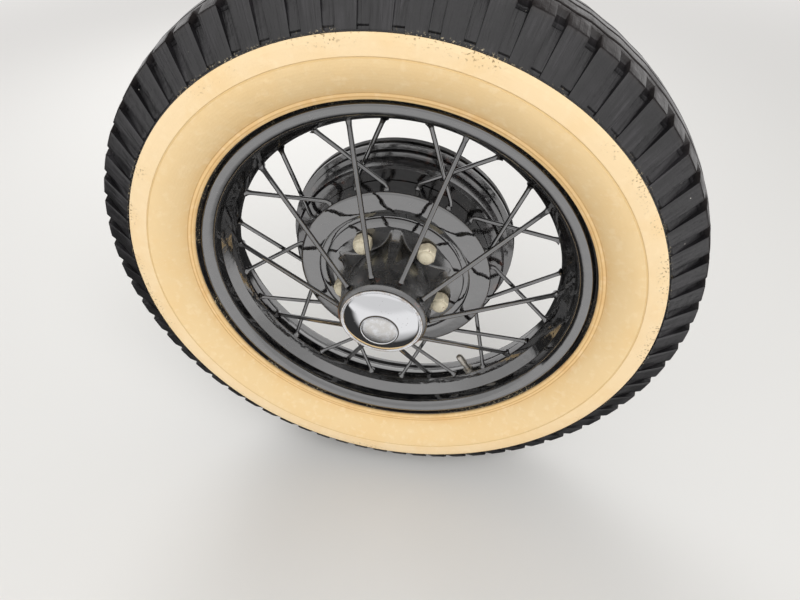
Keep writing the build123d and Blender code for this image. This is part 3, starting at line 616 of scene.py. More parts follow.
cone = softened(np.stack([full_outline(place) for place in CONE_PLACES]))
fillet = softened(np.stack([full_outline(taken) for taken, place, out in FILLET]), down=False)
fillet = [outward(line, out) for line, (taken, place, out) in zip(fillet, FILLET)]
print("cone", cone.shape[0], "outlines of", cone.shape[1], "points")

# %% [markdown]
# The rest of the shell is round. Its section starts inside the nose, turns over the nose's end and goes
# down the cone; then come the lug face, the pressed groove, the broad face, the turned edge and the
# barrel. Rings and cone outlines have the same number of points, so one grid of quads covers the whole
# shell.

# %% Hub shell
# Corners as radius and place.
NOSE_INSIDE = [(46.0, 40.9), (46.0, -52.3)]
NOSE_END = [(46.3, -52.5), (51.2, -52.5), (53.4, -51.6), (55.1, -50.1), (56.3, -48.2)]
SEAT_FACE = [(82.0, LUG_FACE), (82.8, 32.6), (83.8, 32.85), (88.0, 33.9), (92.0, 34.95)]
PRESSED_GROOVE = [
    (93.0, 35.4), (93.5, 36.2), (93.9, 37.4), (94.7, 38.0), (100.4, 38.0), (101.3, 37.5), (101.7, 35.4),
    (102.3, 34.4),
]
BROAD_FACE = [(103.6, 34.1), (112.0, 34.95), (120.0, 35.75), (125.6, 36.35)]
TURNED_EDGE = [(127.6, 36.8), (128.8, 37.8), (129.2, 39.0), (128.8, 40.2), (127.8, 41.2), (127.1, 42.4)]
BARREL = [(127.0, 44.0), (127.0, 68.4), (126.4, 69.0), (124.6, 69.0), (124.0, 68.4), (124.0, 40.0)]
FLANGE_BACK = [(123.0, 39.2), (106.5, 37.6), (105.0, 38.6), (105.0, 40.9)]
ROUND_ROWS = SEAT_FACE + PRESSED_GROOVE + BROAD_FACE + TURNED_EDGE + BARREL + FLANGE_BACK
BLENDS = (0.15, 0.4, 0.7, 0.92)


def in_space(outline, place):
    """Points in metres from an outline's X and Z in millimetres."""
    return np.stack([outline[:, 0], np.full(len(outline), DATUM + place), outline[:, 1]], axis=1) * MM


shell_rows = [in_space(ring(radius), place) for radius, place in NOSE_INSIDE + NOSE_END]
shell_rows += [in_space(line, place) for line, place in zip(cone, CONE_PLACES)]
shell_rows += [in_space(line, place) for line, (taken, place, out) in zip(fillet, FILLET)]
seat = ring(SEAT_FACE[0][0])
shell_rows += [in_space(fillet[-1] * (1 - share) + seat * share, LUG_FACE) for share in BLENDS]
shell_rows += [in_space(ring(radius), place) for radius, place in ROUND_ROWS]
shell_faces = grid_faces(len(shell_rows), len(ROUND), True, True)
shell = to_object("hub_shell_pressed", np.concatenate(shell_rows), shell_faces)
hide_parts("hub_shell")
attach(shell, "wheel")
print("hub shell", len(shell.data.polygons), "faces")

# %% [markdown]
# The five wheel nuts are closed ones: a hexagon with eased corners and a dome. A nut is drawn as rings
# round its own axis, six-sided low down and round above. Geometry Nodes set the five round the axle.

# %% Nuts
NUT_SIDES = 48
LUG_CIRCLE_RADIUS = 69.85
NO_FLATS = 40.0

# Width over the flats, radius that limits the corners, and place; the dome has no flats.
NUT_FOOT = [(13.0, 6.5, 32.5), (NO_FLATS, 8.6, 32.45)]
NUT_FLATS = [
    (22.2, 11.4, 30.3), (22.2, 12.2, 29.5), (22.2, 12.5, 28.4), (22.2, 12.5, 18.0), (22.2, 12.2, 17.1),
    (22.2, 11.5, 16.3), (22.2, 10.9, 15.8),
]
NUT_DOME = [(NO_FLATS, radius, place) for radius, place in [
    (10.45, 15.5), (10.15, 14.9), (9.9, 13.8), (9.4, 12.5), (8.4, 11.2), (6.8, 10.1), (4.4, 9.45),
    (1.6, 9.2),
]]


def nut_ring(flats, limit, place):
    """A ring round the lug's axis, in metres: a hexagon limited to a circle."""
    turn = np.arange(NUT_SIDES) * 2 * math.pi / NUT_SIDES
    hexagon = (flats / 2) / np.cos((turn + math.pi / 6) % (math.pi / 3) - math.pi / 6)
    radius = np.minimum(hexagon, limit)
    x = LUG_CIRCLE_RADIUS + radius * np.cos(turn)
    z = radius * np.sin(turn)
    lean = math.radians(LUG_PHASE)
    turned = [x * math.cos(lean) - z * math.sin(lean), x * math.sin(lean) + z * math.cos(lean)]
    return in_space(np.stack(turned, axis=1), place)


nut_rows = [nut_ring(*row) for row in NUT_FOOT + NUT_FLATS + NUT_DOME]
nut_faces = capped_faces(len(nut_rows), NUT_SIDES)
nuts = repeated(to_object("wheel_nuts", np.concatenate(nut_rows), nut_faces), LUGS)
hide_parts("lug_nuts")
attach(nuts, "wheel")

# %% [markdown]
# The hub cap is a shallow dome of thin chromed sheet with a rolled bead at its edge, pressed into the
# hub's nose. Its middle carries a round plate inside a fine raised ring, left bare here. Both are spun
# from their sections.

# %% Hub cap
CAP_BEAD = (50.5, -54.0)
CAP_BEAD_RADIUS = 1.5
CAP_HEIGHT = 17.0
CAP_SPHERE = (CAP_BEAD[0] ** 2 + CAP_HEIGHT ** 2) / (2 * CAP_HEIGHT)
CAP_SHEET = 1.4
CAP_SKIRT = [(46.2, -52.6), (45.9, -52.0), (45.9, -42.3), (45.4, -42.0), (44.9, -42.3), (44.9, -53.2)]

# Radius and height above the dome.
PLATE_RING = [(21.9, 0.5), (22.2, 0.9), (22.7, 1.15), (23.3, 1.1), (23.7, 0.75), (23.9, 0.1)]
PLATE_BACK = [(23.9, -0.4), (0.3, -0.4)]
PLATE_LIFT = 0.75


def dome(radius, lift=0.0):
    """Section point on the dome's outside, lifted off it."""
    sag = CAP_SPHERE - math.sqrt(CAP_SPHERE ** 2 - radius ** 2)
    return (radius, CAP_BEAD[1] - CAP_HEIGHT + sag - lift)


cap_section = [dome(radius) for radius in np.linspace(0.3, 45.6, 26)]
cap_section += [dome(46.6, -0.15), dome(47.4, -0.55), (48.2, -54.75), (48.9, -54.9)]
cap_section += arc(CAP_BEAD, CAP_BEAD_RADIUS, -150, 90, 15) + CAP_SKIRT
cap_section += [dome(radius, -CAP_SHEET) for radius in np.linspace(44.0, 0.3, 10)]
cap = spun("hub_cap_dome", cap_section, 240)
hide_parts("hub_cap")

plate_section = [dome(0.3, PLATE_LIFT)] + [dome(radius, PLATE_LIFT) for radius in np.linspace(3.0, 21.4, 9)]
plate_section += [dome(radius, lift) for radius, lift in PLATE_RING + PLATE_BACK]
plate = spun("cap_plate", plate_section, 200)
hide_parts("cap_medallion")
for piece in (cap, plate):
    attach(piece, "wheel")
print("cap sphere radius", round(CAP_SPHERE, 1), "mm")

# %% [markdown]
# Ten new pieces stand where packed ones stood. They are listed with the slots of their finishes, so that
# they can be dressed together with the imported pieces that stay.

# %% New pieces
PIECES = [(tyre, "tyre_rubber"), (whitewall, "white_rubber"), (nuts, "pale_enamel")]
PIECES += [(piece, "black_enamel") for piece in (rim, shell, front, leading, trailing)]
PIECES += [(piece, "chrome_plate") for piece in (cap, plate)]
print("new pieces", [piece.name for piece, slot in PIECES])

# %% [markdown]
# Nine finishes cover the wheel. Each starts from what the real surface is, and from the marks that
# making and use left on it. Patterns read Object coordinates, which are metres in the frame, so a
# pattern's scale comes from a real size: a noise texture of scale 1000 / 8 has blobs about 8 mm across.
# Colours are given as a screen shows them, and one function makes them linear.

# %% Finishes
FINISHES = {}

# A map range goes from input 3 to input 4 while its value, input 0, goes from input 1 to input 2. A
# colour mix goes from input 6 to input 7.
SOFT = {"interpolation_type": "SMOOTHSTEP"}


def linear(code):
    """An sRGB hex colour as linear red, green, blue and alpha."""
    parts = [int(code[i:i + 2], 16) / 255 for i in (1, 3, 5)]
    return [v / 12.92 if v <= 0.04045 else ((v + 0.055) / 1.055) ** 2.4 for v in parts] + [1.0]


def across(size):
    """Texture scale that gives features about this many millimetres across."""
    return 1000.0 / size


def finish(name, colour, roughness, ior=1.5, metallic=0.0):
    """A Principled material with its plain values, its node tree and its shader."""
    material = bpy.data.materials.new(name)
    material.use_nodes = True
    shader = material.node_tree.nodes["Principled BSDF"]
    shader.inputs["Base Color"].default_value = linear(colour)
    shader.inputs["Roughness"].default_value = roughness
    shader.inputs["Metallic"].default_value = metallic
    if not metallic:
        shader.inputs["IOR"].default_value = ior
    return material, material.node_tree, shader


def round_axle(tree):
    """Sockets for the place in metres, the radius from the axle and the depth along it."""
    place = add(tree, "ShaderNodeTexCoord").outputs["Object"]
    depth = add(tree, "ShaderNodeSeparateXYZ", [(place, 0)]).outputs["Y"]
    flat = add(tree, "ShaderNodeVectorMath", [(place, 0)], {1: (1, 0, 1)}, operation="MULTIPLY").outputs[0]
    radius = add(tree, "ShaderNodeVectorMath", [(flat, 0)], operation="LENGTH").outputs["Value"]
    return place, radius, depth


print("a noise of scale", across(8), "has blobs of about 8 mm")

# %% [markdown]
# Wear isn't spread evenly. It keeps to a zone, such as a ring round the axle, and within the zone it
# comes in patches or specks. So each pattern is a share between 0 and 1, and can be held within another
# share. Colours are then laid over each other by such shares, and bumps are stacked in the same way.

# %% Wear patterns
def band(tree, measure, *edges, within=None):
    """Share that is full past every soft edge; an edge is where it starts and where it is full, in mm."""
    for start, full in edges:
        links = [(measure, 0)] + ([(within, 4)] if within else [])
        limits = {1: start * MM, 2: full * MM, 3: 0.0, 4: 1.0}
        within = add(tree, "ShaderNodeMapRange", links, limits, **SOFT).outputs[0]
    return within


def patches(tree, place, size, bare, full, detail=3.0, within=None):
    """Uneven patches of a size in mm: a noise's level as a share, from 0 where bare to 1 where full."""
    settings = {"Scale": across(size), "Detail": detail}
    level = add(tree, "ShaderNodeTexNoise", [(place, "Vector")], settings).outputs["Fac"]
    links = [(level, 0)] + ([(within, 4)] if within else [])
    return add(tree, "ShaderNodeMapRange", links, {1: bare, 2: full, 3: 0.0, 4: 1.0}, **SOFT).outputs[0]


def specks(tree, place, spacing, edge, core, within=None):
    """Small specks a spacing in mm apart, as a share that is full at each speck's core."""
    cells = add(tree, "ShaderNodeTexVoronoi", [(place, "Vector")], {"Scale": across(spacing)})
    links = [(cells.outputs["Distance"], 0)] + ([(within, 4)] if within else [])
    return add(tree, "ShaderNodeMapRange", links, {1: edge, 2: core, 3: 0.0, 4: 1.0}, **SOFT).outputs[0]


def painted(tree, shader, layers):
    """Colours laid over the shader's own, each by a share and up to an amount."""
    colour = None
    for share, code, amount in layers:
        reach = add(tree, "ShaderNodeMath", [(share, 0)], {1: amount}, operation="MULTIPLY").outputs[0]
        links = [(reach, 0)] + ([(colour, 6)] if colour else [])
        pair = {6: tuple(shader.inputs["Base Color"].default_value), 7: linear(code)}
        colour = add(tree, "ShaderNodeMix", links, pair, data_type="RGBA").outputs[2]
    tree.links.new(colour, shader.inputs["Base Color"])


def roughened(tree, shader, share, clean, worn):
    """Roughness that goes from its clean value to its worn one by a share."""
    rough = add(tree, "ShaderNodeMapRange", [(share, 0)], {3: clean, 4: worn}).outputs[0]
    tree.links.new(rough, shader.inputs["Roughness"])


def bumped(tree, shader, heights):
    """Bump from pairs of a height share and its depth in millimetres, one on the other."""
    normal = None
    for height, depth in heights:
        links = [(height, "Height")] + ([(normal, "Normal")] if normal else [])
        normal = add(tree, "ShaderNodeBump", links, {"Strength": 1.0, "Distance": depth * MM}).outputs[0]
    tree.links.new(normal, shader.inputs["Normal"])


print("patterns", [pattern.__name__ for pattern in (band, patches, specks)])

# %% [markdown]
# Black rubber is only a very dark brown-grey. What the eye reads is the dust on the faces of the blocks,
# fine cracks that run across the shoulder, a browner, scuffed crown, and crumbs of the pale rubber along
# its edge. The cracks are drawn wider than real ones, which would vanish at this distance.

# %% Tyre rubber
def tyre_rubber():
    """Carbon-black rubber, moulded, worn and dusty: soft sheen, brown crown, grey bloom on the blocks."""
    material, tree, shader = finish("carbon_black_rubber", "#141315", 0.4, 1.65)
    place, radius, depth = round_axle(tree)
    axes = add(tree, "ShaderNodeSeparateXYZ", [(place, 0)]).outputs
    angle = add(tree, "ShaderNodeMath", [(axes["Z"], 0), (axes["X"], 1)], operation="ARCTAN2").outputs[0]
    turn = add(tree, "ShaderNodeCombineXYZ", [(angle, 0), (radius, 1)]).outputs[0]
    stretched = add(tree, "ShaderNodeMapping", [(turn, 0)], {"Scale": (0.36, 0.05, 1.0)}).outputs[0]
    cracks = patches(tree, stretched, 1.6, 0.52, 0.7)
    fine = patches(tree, stretched, 3.0, 0.3, 0.75)
    bloom = patches(tree, place, 34, 0.36, 0.7)
    dust = add(tree, "ShaderNodeMath", [(bloom, 0), (fine, 1)], operation="MULTIPLY").outputs[0]
    edge = band(tree, depth, (-230.0, -250.0), within=band(tree, radius, (333.5, 328.5)))
    edge = patches(tree, place, 70, 0.46, 0.58, within=edge)
    painted(tree, shader, [
        (dust, "#3f3d40", 0.6),
        (patches(tree, place, 2.4, 0.58, 0.62, 5.0, within=edge), "#d8c8a4", 0.9),
        (cracks, "#0b0a0b", 0.5),
        (band(tree, radius, (366.0, 377.0)), "#37302d", 0.45),
        (specks(tree, place, 19, 0.045, 0.02), "#c9c5bd", 0.8),
    ])
    roughened(tree, shader, bloom, 0.3, 0.46)
    bumped(tree, shader, [(patches(tree, place, 7, 0.2, 0.8), 0.25), (fine, 0.12), (cracks, -0.15)])
    return material


FINISHES["tyre_rubber"] = tyre_rubber()
print("made", FINISHES["tyre_rubber"].name)

# %% [markdown]
# The sidewall was white and has yellowed to cream. The colour changes with the distance from the axle:
# darker beside the rim with painted shade, and brown grease stains in patches there; even over the broad
# face; and paler outside the fine groove. Painted shade also darkens the groove and the ribs' edges.
# Flecks of black rubber and small chips sit along its outer edge. The mould's turning marks are drawn as
# rings about 3.5 mm apart, coarser than real ones.

# %% White rubber
# Radius and half width of a line of painted shade round the sidewall, its colour and its amount: in the
# groove and at the two ribs' edges.
SIDE_CREASE_SHADE = [(306.8, 1.1, "#cfae76", 0.55), (266.2, 0.6, "#b98a4c", 0.5), (262.2, 0.7, "#b98a4c", 0.5)]


def white_rubber():
    """White rubber yellowed by age: satin, faintly mottled, edge flecks, stains and painted shade by the
    rim.
    """
    material, tree, shader = finish("yellowed_white_rubber", "#f0d29f", 0.5, 1.45)
    place, radius, _ = round_axle(tree)
    edge = patches(tree, place, 60, 0.47, 0.62, within=band(tree, radius, (312.5, 327.0)))
    fleck = patches(tree, place, 2.7, 0.59, 0.64, 6.0, within=edge)
    beside_rim = band(tree, radius, (274.5, 259.5))
    layers = [
        (band(tree, radius, (306.5, 308.5)), "#f5daae", 1.0),
        # Painted shade beside the rim, darker toward it.
        (band(tree, radius, (279.0, 261.0)), "#e7c288", 0.85),
        (patches(tree, place, 55, 0.42, 0.7), "#efca8e", 0.4),
        (patches(tree, place, 9, 0.5, 0.75), "#fbe4bd", 0.35),
        (fleck, "#8a7048", 0.75),
        (patches(tree, place, 40, 0.5, 0.68, within=beside_rim), "#d9a35f", 0.35),
    ]
    # Painted shade in the groove and at the ribs' edges.
    for middle, half, code, amount in SIDE_CREASE_SHADE:
        limits = {1: middle * MM, 2: half * MM}
        line = add(tree, "ShaderNodeMath", [(radius, 0)], limits, operation="COMPARE").outputs[0]
        layers.append((line, code, amount))
    painted(tree, shader, layers)
    mottle = patches(tree, place, 14, 0.3, 0.7)
    roughened(tree, shader, mottle, 0.42, 0.58)
    rings = add(tree, "ShaderNodeMath", [(radius, 0)], {1: across(0.55)}, operation="MULTIPLY").outputs[0]
    rings = add(tree, "ShaderNodeMath", [(rings, 0)], operation="SINE").outputs[0]
    waves = patches(tree, place, 34, 0.2, 0.8)
    grain = patches(tree, place, 3.2, 0.2, 0.8)
    bumped(tree, shader, [(waves, 0.5), (grain, 0.08), (rings, 0.012), (fleck, -0.5)])
    return material


FINISHES["white_rubber"] = white_rubber()
print("made", FINISHES["white_rubber"].name)

# %% [markdown]
# The wheel is finished in gloss black stove enamel. Such paint is a mirror with a slow unevenness, so
# what stands round it shows as wavy streaks. A thin grey film lies on it, grit sits under it, and it is
# duller on the cone, where hands and spanners work. Near the front rods' feet it has rubbed through to
# brown primer in small spots.

# %% Black enamel
def black_enamel():
    """Gloss stove enamel over steel: deep black, strong wavy reflections, a grey film, grit and dust."""
    material, tree, shader = finish("gloss_black_enamel", "#060608", 0.06, 2.65)
    place, radius, depth = round_axle(tree)
    grime = patches(tree, place, 1.3, 0.6, 0.72, 4.0, within=patches(tree, place, 30, 0.45, 0.75))
    along = add(tree, "ShaderNodeMapping", [(place, 0)], {"Scale": (0.6, 1.0, 1.4)}).outputs[0]
    flake = specks(tree, place, 13, 0.09, 0.05, within=patches(tree, place, 45, 0.56, 0.6))
    rod_feet = band(tree, depth, (DATUM - 35, DATUM - 39), within=band(tree, radius, (66.0, 62.0)))
    rod_feet = patches(tree, place, 30, 0.53, 0.57, within=rod_feet)
    painted(tree, shader, [
        (patches(tree, along, 11, 0.36, 0.7, 6.0), "#232221", 0.8),
        (grime, "#5a554f", 0.6),
        (flake, "#6d5a48", 0.7),
        (patches(tree, place, 5, 0.54, 0.59, within=rod_feet), "#9a5b48", 0.6),
    ])
    clean = add(tree, "ShaderNodeMapRange", [(grime, 0)], {3: 0.055, 4: 0.4}).outputs[0]
    handled = patches(tree, place, 12, 0.3, 0.7)
    worn = add(tree, "ShaderNodeMapRange", [(handled, 0)], {3: 0.2, 4: 0.36}).outputs[0]
    cone = band(tree, radius, (82.0, 72.0))
    rough = add(tree, "ShaderNodeMapRange", [(cone, 0), (clean, 3), (worn, 4)]).outputs[0]
    tree.links.new(rough, shader.inputs["Roughness"])
    waves = patches(tree, place, 14, 0.2, 0.8, 1.0)
    ripples = patches(tree, place, 4.5, 0.2, 0.8)
    bumped(tree, shader, [(waves, 0.1), (ripples, 0.022), (flake, -0.1)])
    return material


FINISHES["black_enamel"] = black_enamel()
print("made", FINISHES["black_enamel"].name)

# %% [markdown]
# The nuts were dipped in a pale enamel. Their sides turn darker and browner toward the foot in blotches,
# and the paint is chipped along the hexagon's edges, where a spanner has worked.

# %% Pale enamel
def pale_enamel():
    """Cream-white enamel on steel nuts: glossy, pitted, chipped to brown primer where a spanner grips."""
    material, tree, shader = finish("pale_dipped_enamel", "#ddd4bb", 0.28, 1.52)
    place, _, depth = round_axle(tree)
    blotches = patches(tree, place, 5, 0.35, 0.7, 4.0)
    chips = patches(tree, place, 2.4, 0.62, 0.66, 4.0, within=patches(tree, place, 16, 0.45, 0.6))
    painted(tree, shader, [
        # Darker and browner toward the nut's foot, within the blotches.
        (band(tree, depth, (DATUM + 17.0, DATUM + 31.0), within=blotches), "#8f7f65", 0.8),
        (patches(tree, place, 3, 0.55, 0.7), "#efe8d4", 0.5),
        (chips, "#7a4a37", 0.8),
    ])
    roughened(tree, shader, blotches, 0.2, 0.5)
    bumped(tree, shader, [(patches(tree, place, 2.2, 0.3, 0.7), 0.12), (chips, -0.15)])
    return material


FINISHES["pale_enamel"] = pale_enamel()
print("made", FINISHES["pale_enamel"].name)

# %% [markdown]
# Chrome is a thin, hard mirror, nearly neutral in tint. It is bright only where what stands before it is
# bright. The middle plate has a frosted face inside a fine groove, darkened with painted shade. Tiny pits
# and a brown bloom gather at the bead, where water stays.

# %% Chrome
def chrome_plate():
    """Polished chromium over brass: a clean mirror, faint wiping haze, pits, a warm bloom by the bead."""
    material, tree, shader = finish("polished_chromium", "#d6d7d9", 0.03, metallic=1.0)
    place, radius, _ = round_axle(tree)
    pit = specks(tree, place, 4.2, 0.11, 0.06, within=patches(tree, place, 12, 0.5, 0.62))
    face = band(tree, radius, (22.0, 21.4))
    frosted = patches(tree, place, 7, 0.25, 0.6, within=face)
    painted(tree, shader, [
        (patches(tree, place, 9, 0.42, 0.62, within=band(tree, radius, (47.5, 51.5))), "#8d7350", 0.55),
        (pit, "#4a4136", 0.8),
        # Painted shade in the fine groove round the middle plate.
        (band(tree, radius, (22.9, 23.4), (25.0, 24.3)), "#3f3a34", 0.85),
        (frosted, "#b9b5ae", 0.6),
    ])
    haze = patches(tree, place, 18, 0.4, 0.75)
    clean = add(tree, "ShaderNodeMapRange", [(haze, 0)], {3: 0.02, 4: 0.09}).outputs[0]
    rough = add(tree, "ShaderNodeMapRange", [(face, 0), (clean, 3)], {4: 0.26}).outputs[0]
    tree.links.new(rough, shader.inputs["Roughness"])
    bumped(tree, shader, [(patches(tree, place, 21, 0.2, 0.8, 1.0), 0.035), (pit, -0.08), (frosted, 0.04)])
    return material


FINISHES["chrome_plate"] = chrome_plate()
print("made", FINISHES["chrome_plate"].name)

# %% [markdown]
# The drum and hub are castings, turned and then painted. The paint is thinner and duller than the
# wheel's, with brown brake dust in its steps and the marks of the lathe under it, drawn coarser than
# real ones so that they show.

# %% Drum enamel
def drum_enamel():
    """Semi-gloss black over turned cast iron: soft streaks of light, lathe lines, brown dust."""
    material, tree, shader = finish("semi_gloss_on_iron", "#0b0a0b", 0.16, 2.3)
    place, radius, depth = round_axle(tree)
    dust = patches(tree, place, 24, 0.42, 0.74, within=patches(tree, place, 1.8, 0.4, 0.75, 4.0))
    rust = patches(tree, place, 11, 0.58, 0.68, within=patches(tree, place, 70, 0.48, 0.6))
    painted(tree, shader, [(dust, "#453a32", 0.6), (rust, "#5d3626", 0.55)])
    roughened(tree, shader, dust, 0.12, 0.42)
    turned = add(tree, "ShaderNodeCombineXYZ", [(radius, 0), (depth, 1)]).outputs[0]
    lathe = patches(tree, turned, 1.1, 0.3, 0.7)
    bumped(tree, shader, [(lathe, 0.02), (patches(tree, place, 9, 0.3, 0.7), 0.08), (rust, 0.06)])
    return material


FINISHES["drum_enamel"] = drum_enamel()
print("made", FINISHES["drum_enamel"].name)

# %% [markdown]
# The axle end behind the drum has plain chassis paint, brushed on thin and never polished. Grit thrown
# up by the wheel has stuck to it, and oil from the axle has made darker, smoother patches.

# %% Chassis paint
def chassis_enamel():
    """Satin black chassis paint on pressed and forged steel: dull, grimy, with oily and dusty patches."""
    material, tree, shader = finish("satin_chassis_black", "#1a1919", 0.4, 1.7)
    place = add(tree, "ShaderNodeTexCoord").outputs["Object"]
    grit = patches(tree, place, 1.6, 0.45, 0.7, 4.0)
    oil = patches(tree, place, 52, 0.55, 0.64)
    painted(tree, shader, [
        (patches(tree, place, 38, 0.4, 0.68, 5.0, within=grit), "#6a5e52", 0.8),
        (oil, "#0a0908", 0.8),
    ])
    roughened(tree, shader, oil, 0.5, 0.22)
    bumped(tree, shader, [(patches(tree, place, 6, 0.3, 0.7), 0.12), (grit, 0.08)])
    return material


FINISHES["chassis_enamel"] = chassis_enamel()
print("made", FINISHES["chassis_enamel"].name)

# %% [markdown]
# Bare steel shows on the shaft, the nuts and the bolts. Turned steel carries rings round its axis, and
# rust starts as small brown freckles. A pattern that reads only the radius and the depth gives such
# rings.

# %% Bare steel
def bare_steel():
    """Turned mild steel: grey metal with fine rings, oil-dark hollows and freckles of rust."""
    material, tree, shader = finish("turned_mild_steel", "#8b8782", 0.34, metallic=1.0)
    place, radius, depth = round_axle(tree)
    turned = add(tree, "ShaderNodeCombineXYZ", [(radius, 0), (depth, 1)]).outputs[0]
    rings = patches(tree, turned, 0.5, 0.3, 0.7)
    freckles = patches(tree, place, 3.2, 0.52, 0.64, 5.0, within=patches(tree, place, 22, 0.38, 0.6))
    painted(tree, shader, [(rings, "#5f5c58", 0.4), (freckles, "#5e3a26", 0.85)])
    roughened(tree, shader, freckles, 0.28, 0.75)
    bumped(tree, shader, [(rings, 0.03), (freckles, 0.08)])
    return material


FINISHES["bare_steel"] = bare_steel()
print("made", FINISHES["bare_steel"].name)

# %% [markdown]
# The valve's stem is brass that was plated with nickel, now dull. Where fingers and caps have rubbed it,
# the yellow of the brass comes through.

# %% Plated valve
def plated_valve():
    """Nickel-plated brass, dulled and rubbed: warm grey metal, yellower where the plating has worn."""
    material, tree, shader = finish("dull_nickel_on_brass", "#bdb9b1", 0.36, metallic=1.0)
    place = add(tree, "ShaderNodeTexCoord").outputs["Object"]
    worn = patches(tree, place, 3, 0.5, 0.66)
    painted(tree, shader, [(worn, "#a88f66", 0.4), (patches(tree, place, 1.6, 0.5, 0.7), "#4a453f", 0.5)])
    roughened(tree, shader, worn, 0.3, 0.5)
    bumped(tree, shader, [(patches(tree, place, 0.9, 0.3, 0.7), 0.04)])
    return material


FINISHES["plated_valve"] = plated_valve()
print("made", FINISHES["plated_valve"].name)

# %% [markdown]
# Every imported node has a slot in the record, and every new piece has named one too. One table from slot
# to finish therefore dresses both.

# %% Dress every piece
dressed = [(NODES[part["node"]], part["material_slot"]) for part in frame["record"]["subparts"]] + PIECES
for piece, slot in dressed:
    piece.data.materials.clear()
    piece.data.materials.append(FINISHES[slot])
print("dressed", len(dressed), "objects in", len(FINISHES), "finishes")

# %% [markdown]
# The wheel stands on a plain pale floor, which fades into the pale surroundings far away. Glossy rays
# pass through the floor: what the enamel and chrome mirror comes from the world alone, so its brightness
# can be set by direction.

# %% Floor
FLOOR_HEIGHT = -0.38
FLOOR_REACH = 15.0
FADE_START = 1.0
FADE_END = 4.5
PALE = "#eceae8"


def pale_floor():
    """Matt pale floor that fades to the colour of the surroundings and isn't seen by glossy rays."""
    material, tree, shader = finish("pale_floor", "#dcdbd9", 0.7)
    place = add(tree, "ShaderNodeTexCoord").outputs["Object"]
    away = add(tree, "ShaderNodeVectorMath", [(place, 0)], operation="LENGTH").outputs["Value"]
    limits = {1: FADE_START, 2: FADE_END, 3: 0.0, 4: 1.0}
    far = add(tree, "ShaderNodeMapRange", [(away, 0)], limits, **SOFT).outputs[0]
    haze = add(tree, "ShaderNodeEmission", [], {"Color": linear(PALE)}).outputs[0]
    faded = add(tree, "ShaderNodeMixShader", [(far, 0), (shader.outputs[0], 1), (haze, 2)]).outputs[0]
    clear = add(tree, "ShaderNodeBsdfTransparent").outputs[0]
    glossy = add(tree, "ShaderNodeLightPath").outputs["Is Glossy Ray"]
    mixed = add(tree, "ShaderNodeMixShader", [(glossy, 0), (faded, 1), (clear, 2)]).outputs[0]
    tree.links.new(mixed, tree.nodes["Material Output"].inputs["Surface"])
    return material


signs = [(-1, -1), (1, -1), (1, 1), (-1, 1)]
corners = [(x * FLOOR_REACH, y * FLOOR_REACH, FLOOR_HEIGHT) for x, y in signs]
floor_mesh = bpy.data.meshes.new("floor")
floor_mesh.from_pydata(corners, [], [(0, 1, 2, 3)])
floor_mesh.materials.append(pale_floor())
floor = bpy.data.objects.new("floor", floor_mesh)
bpy.context.scene.collection.objects.link(floor)
print("floor at", FLOOR_HEIGHT, "m, under the tyre")

# %% [markdown]
# Gloss shows what stands round it, so the world has its own face for glossy rays, with a brightness for
# each direction: bright ground and wall in front, a bright ceiling, dimmer just below the wheel, and dim
# behind but for a level band straight back. The camera sees a plain pale world, and matt surfaces get an
# even, soft light.

# %% World
GROUND = 1.2
WALL = 0.95
CEILING = 1.15
BELOW = 0.5
DIM = 0.05
BACK_BAND = 1.1
SOFT_LIGHT = 0.68


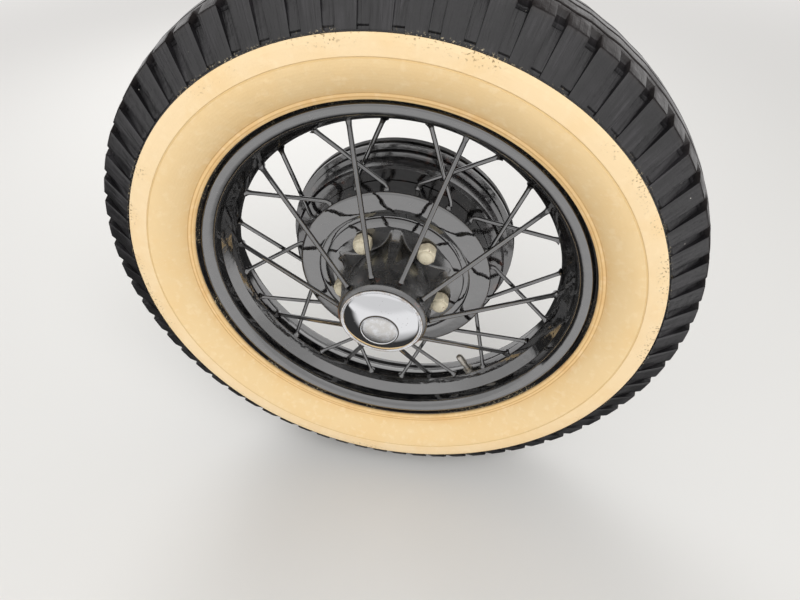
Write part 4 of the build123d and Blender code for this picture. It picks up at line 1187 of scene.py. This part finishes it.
def mirrored_light(tree):
    """Brightness for glossy rays by their direction: Y is inboard, Z is up, X is along the car."""
    way = add(tree, "ShaderNodeTexCoord").outputs["Generated"]
    x, y, z = add(tree, "ShaderNodeSeparateXYZ", [(way, 0)]).outputs
    limits = {1: -0.2, 2: 0.05, 3: GROUND, 4: WALL}
    wall = add(tree, "ShaderNodeMapRange", [(z, 0)], limits, **SOFT).outputs[0]
    limits = {1: 0.45, 2: 0.65, 4: CEILING}
    high = add(tree, "ShaderNodeMapRange", [(z, 0), (wall, 3)], limits, **SOFT).outputs[0]
    limits = {1: -0.68, 2: -0.9, 3: 1.0, 4: BELOW}
    close = add(tree, "ShaderNodeMapRange", [(z, 0)], limits, **SOFT).outputs[0]
    bright = add(tree, "ShaderNodeMath", [(high, 0), (close, 1)], operation="MULTIPLY").outputs[0]

    # Where the bright side starts; near the ground that is further ahead and turned a little.
    turned = add(tree, "ShaderNodeMath", [(x, 0)], {1: 0.3, 2: -0.2}, operation="MULTIPLY_ADD").outputs[0]
    limits = {1: -0.1, 2: -0.35, 3: 0.0}
    lean = add(tree, "ShaderNodeMapRange", [(z, 0), (turned, 4)], limits, **SOFT).outputs[0]
    ahead = add(tree, "ShaderNodeMath", [(lean, 0), (y, 1)], operation="SUBTRACT").outputs[0]
    limits = {1: 0.05, 2: 0.3, 3: DIM}
    shade = add(tree, "ShaderNodeMapRange", [(ahead, 0), (bright, 4)], limits, **SOFT).outputs[0]

    level = add(tree, "ShaderNodeMath", [(z, 0)], operation="ABSOLUTE").outputs[0]
    limits = {1: 0.45, 2: 0.75, 3: 0.0, 4: 1.0}
    behind = add(tree, "ShaderNodeMapRange", [(y, 0)], limits, **SOFT).outputs[0]
    limits = {1: 0.45, 2: 0.38, 3: 0.0}
    strip = add(tree, "ShaderNodeMapRange", [(level, 0), (behind, 4)], limits, **SOFT).outputs[0]
    return add(tree, "ShaderNodeMapRange", [(strip, 0), (shade, 3)], {4: BACK_BAND}).outputs[0]


world = bpy.data.worlds.new("studio")
bpy.context.scene.world = world
world.use_nodes = True
tree = world.node_tree
shine = [(mirrored_light(tree), "Strength")]
mirror = add(tree, "ShaderNodeBackground", shine, {"Color": linear("#f6f5f5")}).outputs[0]
even = {"Color": linear("#fbfaf8"), "Strength": SOFT_LIGHT}
soft = add(tree, "ShaderNodeBackground", [], even).outputs[0]
pale = add(tree, "ShaderNodeBackground", [], {"Color": linear(PALE), "Strength": 1.0}).outputs[0]
path = add(tree, "ShaderNodeLightPath").outputs
both = add(tree, "ShaderNodeMixShader", [(path["Is Glossy Ray"], 0), (soft, 1), (mirror, 2)]).outputs[0]
seen = add(tree, "ShaderNodeMixShader", [(path["Is Camera Ray"], 0), (both, 1), (pale, 2)]).outputs[0]
tree.links.new(seen, tree.nodes["World Output"].inputs["Surface"])
print("world", len(tree.nodes), "nodes")

# %% [markdown]
# Three broad lamps shape the wheel: a key from the upper right in front, a weak fill from the left, and
# one behind that lights the back. They are hidden from glossy rays, because the world already draws what
# the gloss mirrors.

# %% Lamps
TARGET = Vector((0.0, -0.22, 0.0))

# Name, place and side length in metres, and power in watts.
LAMPS = [
    ("key", (1.1, -1.9, 2.2), 1.8, 41.0),
    ("fill", (-1.6, -2.2, 0.5), 1.8, 8.5),
    ("rear", (-0.9, 1.8, 1.5), 1.6, 36.0),
]
for name, place, size, power in LAMPS:
    data = bpy.data.lights.new(name, "AREA")
    data.size = size
    data.energy = power
    lamp = bpy.data.objects.new(name, data)
    bpy.context.scene.collection.objects.link(lamp)
    lamp.location = place
    lamp.rotation_euler = (TARGET - lamp.location).to_track_quat("-Z", "Y").to_euler()
    lamp.visible_glossy = False
    lamp.visible_camera = False
bpy.context.scene.view_settings.view_transform = "Standard"
print("lamps", [name for name, *rest in LAMPS])
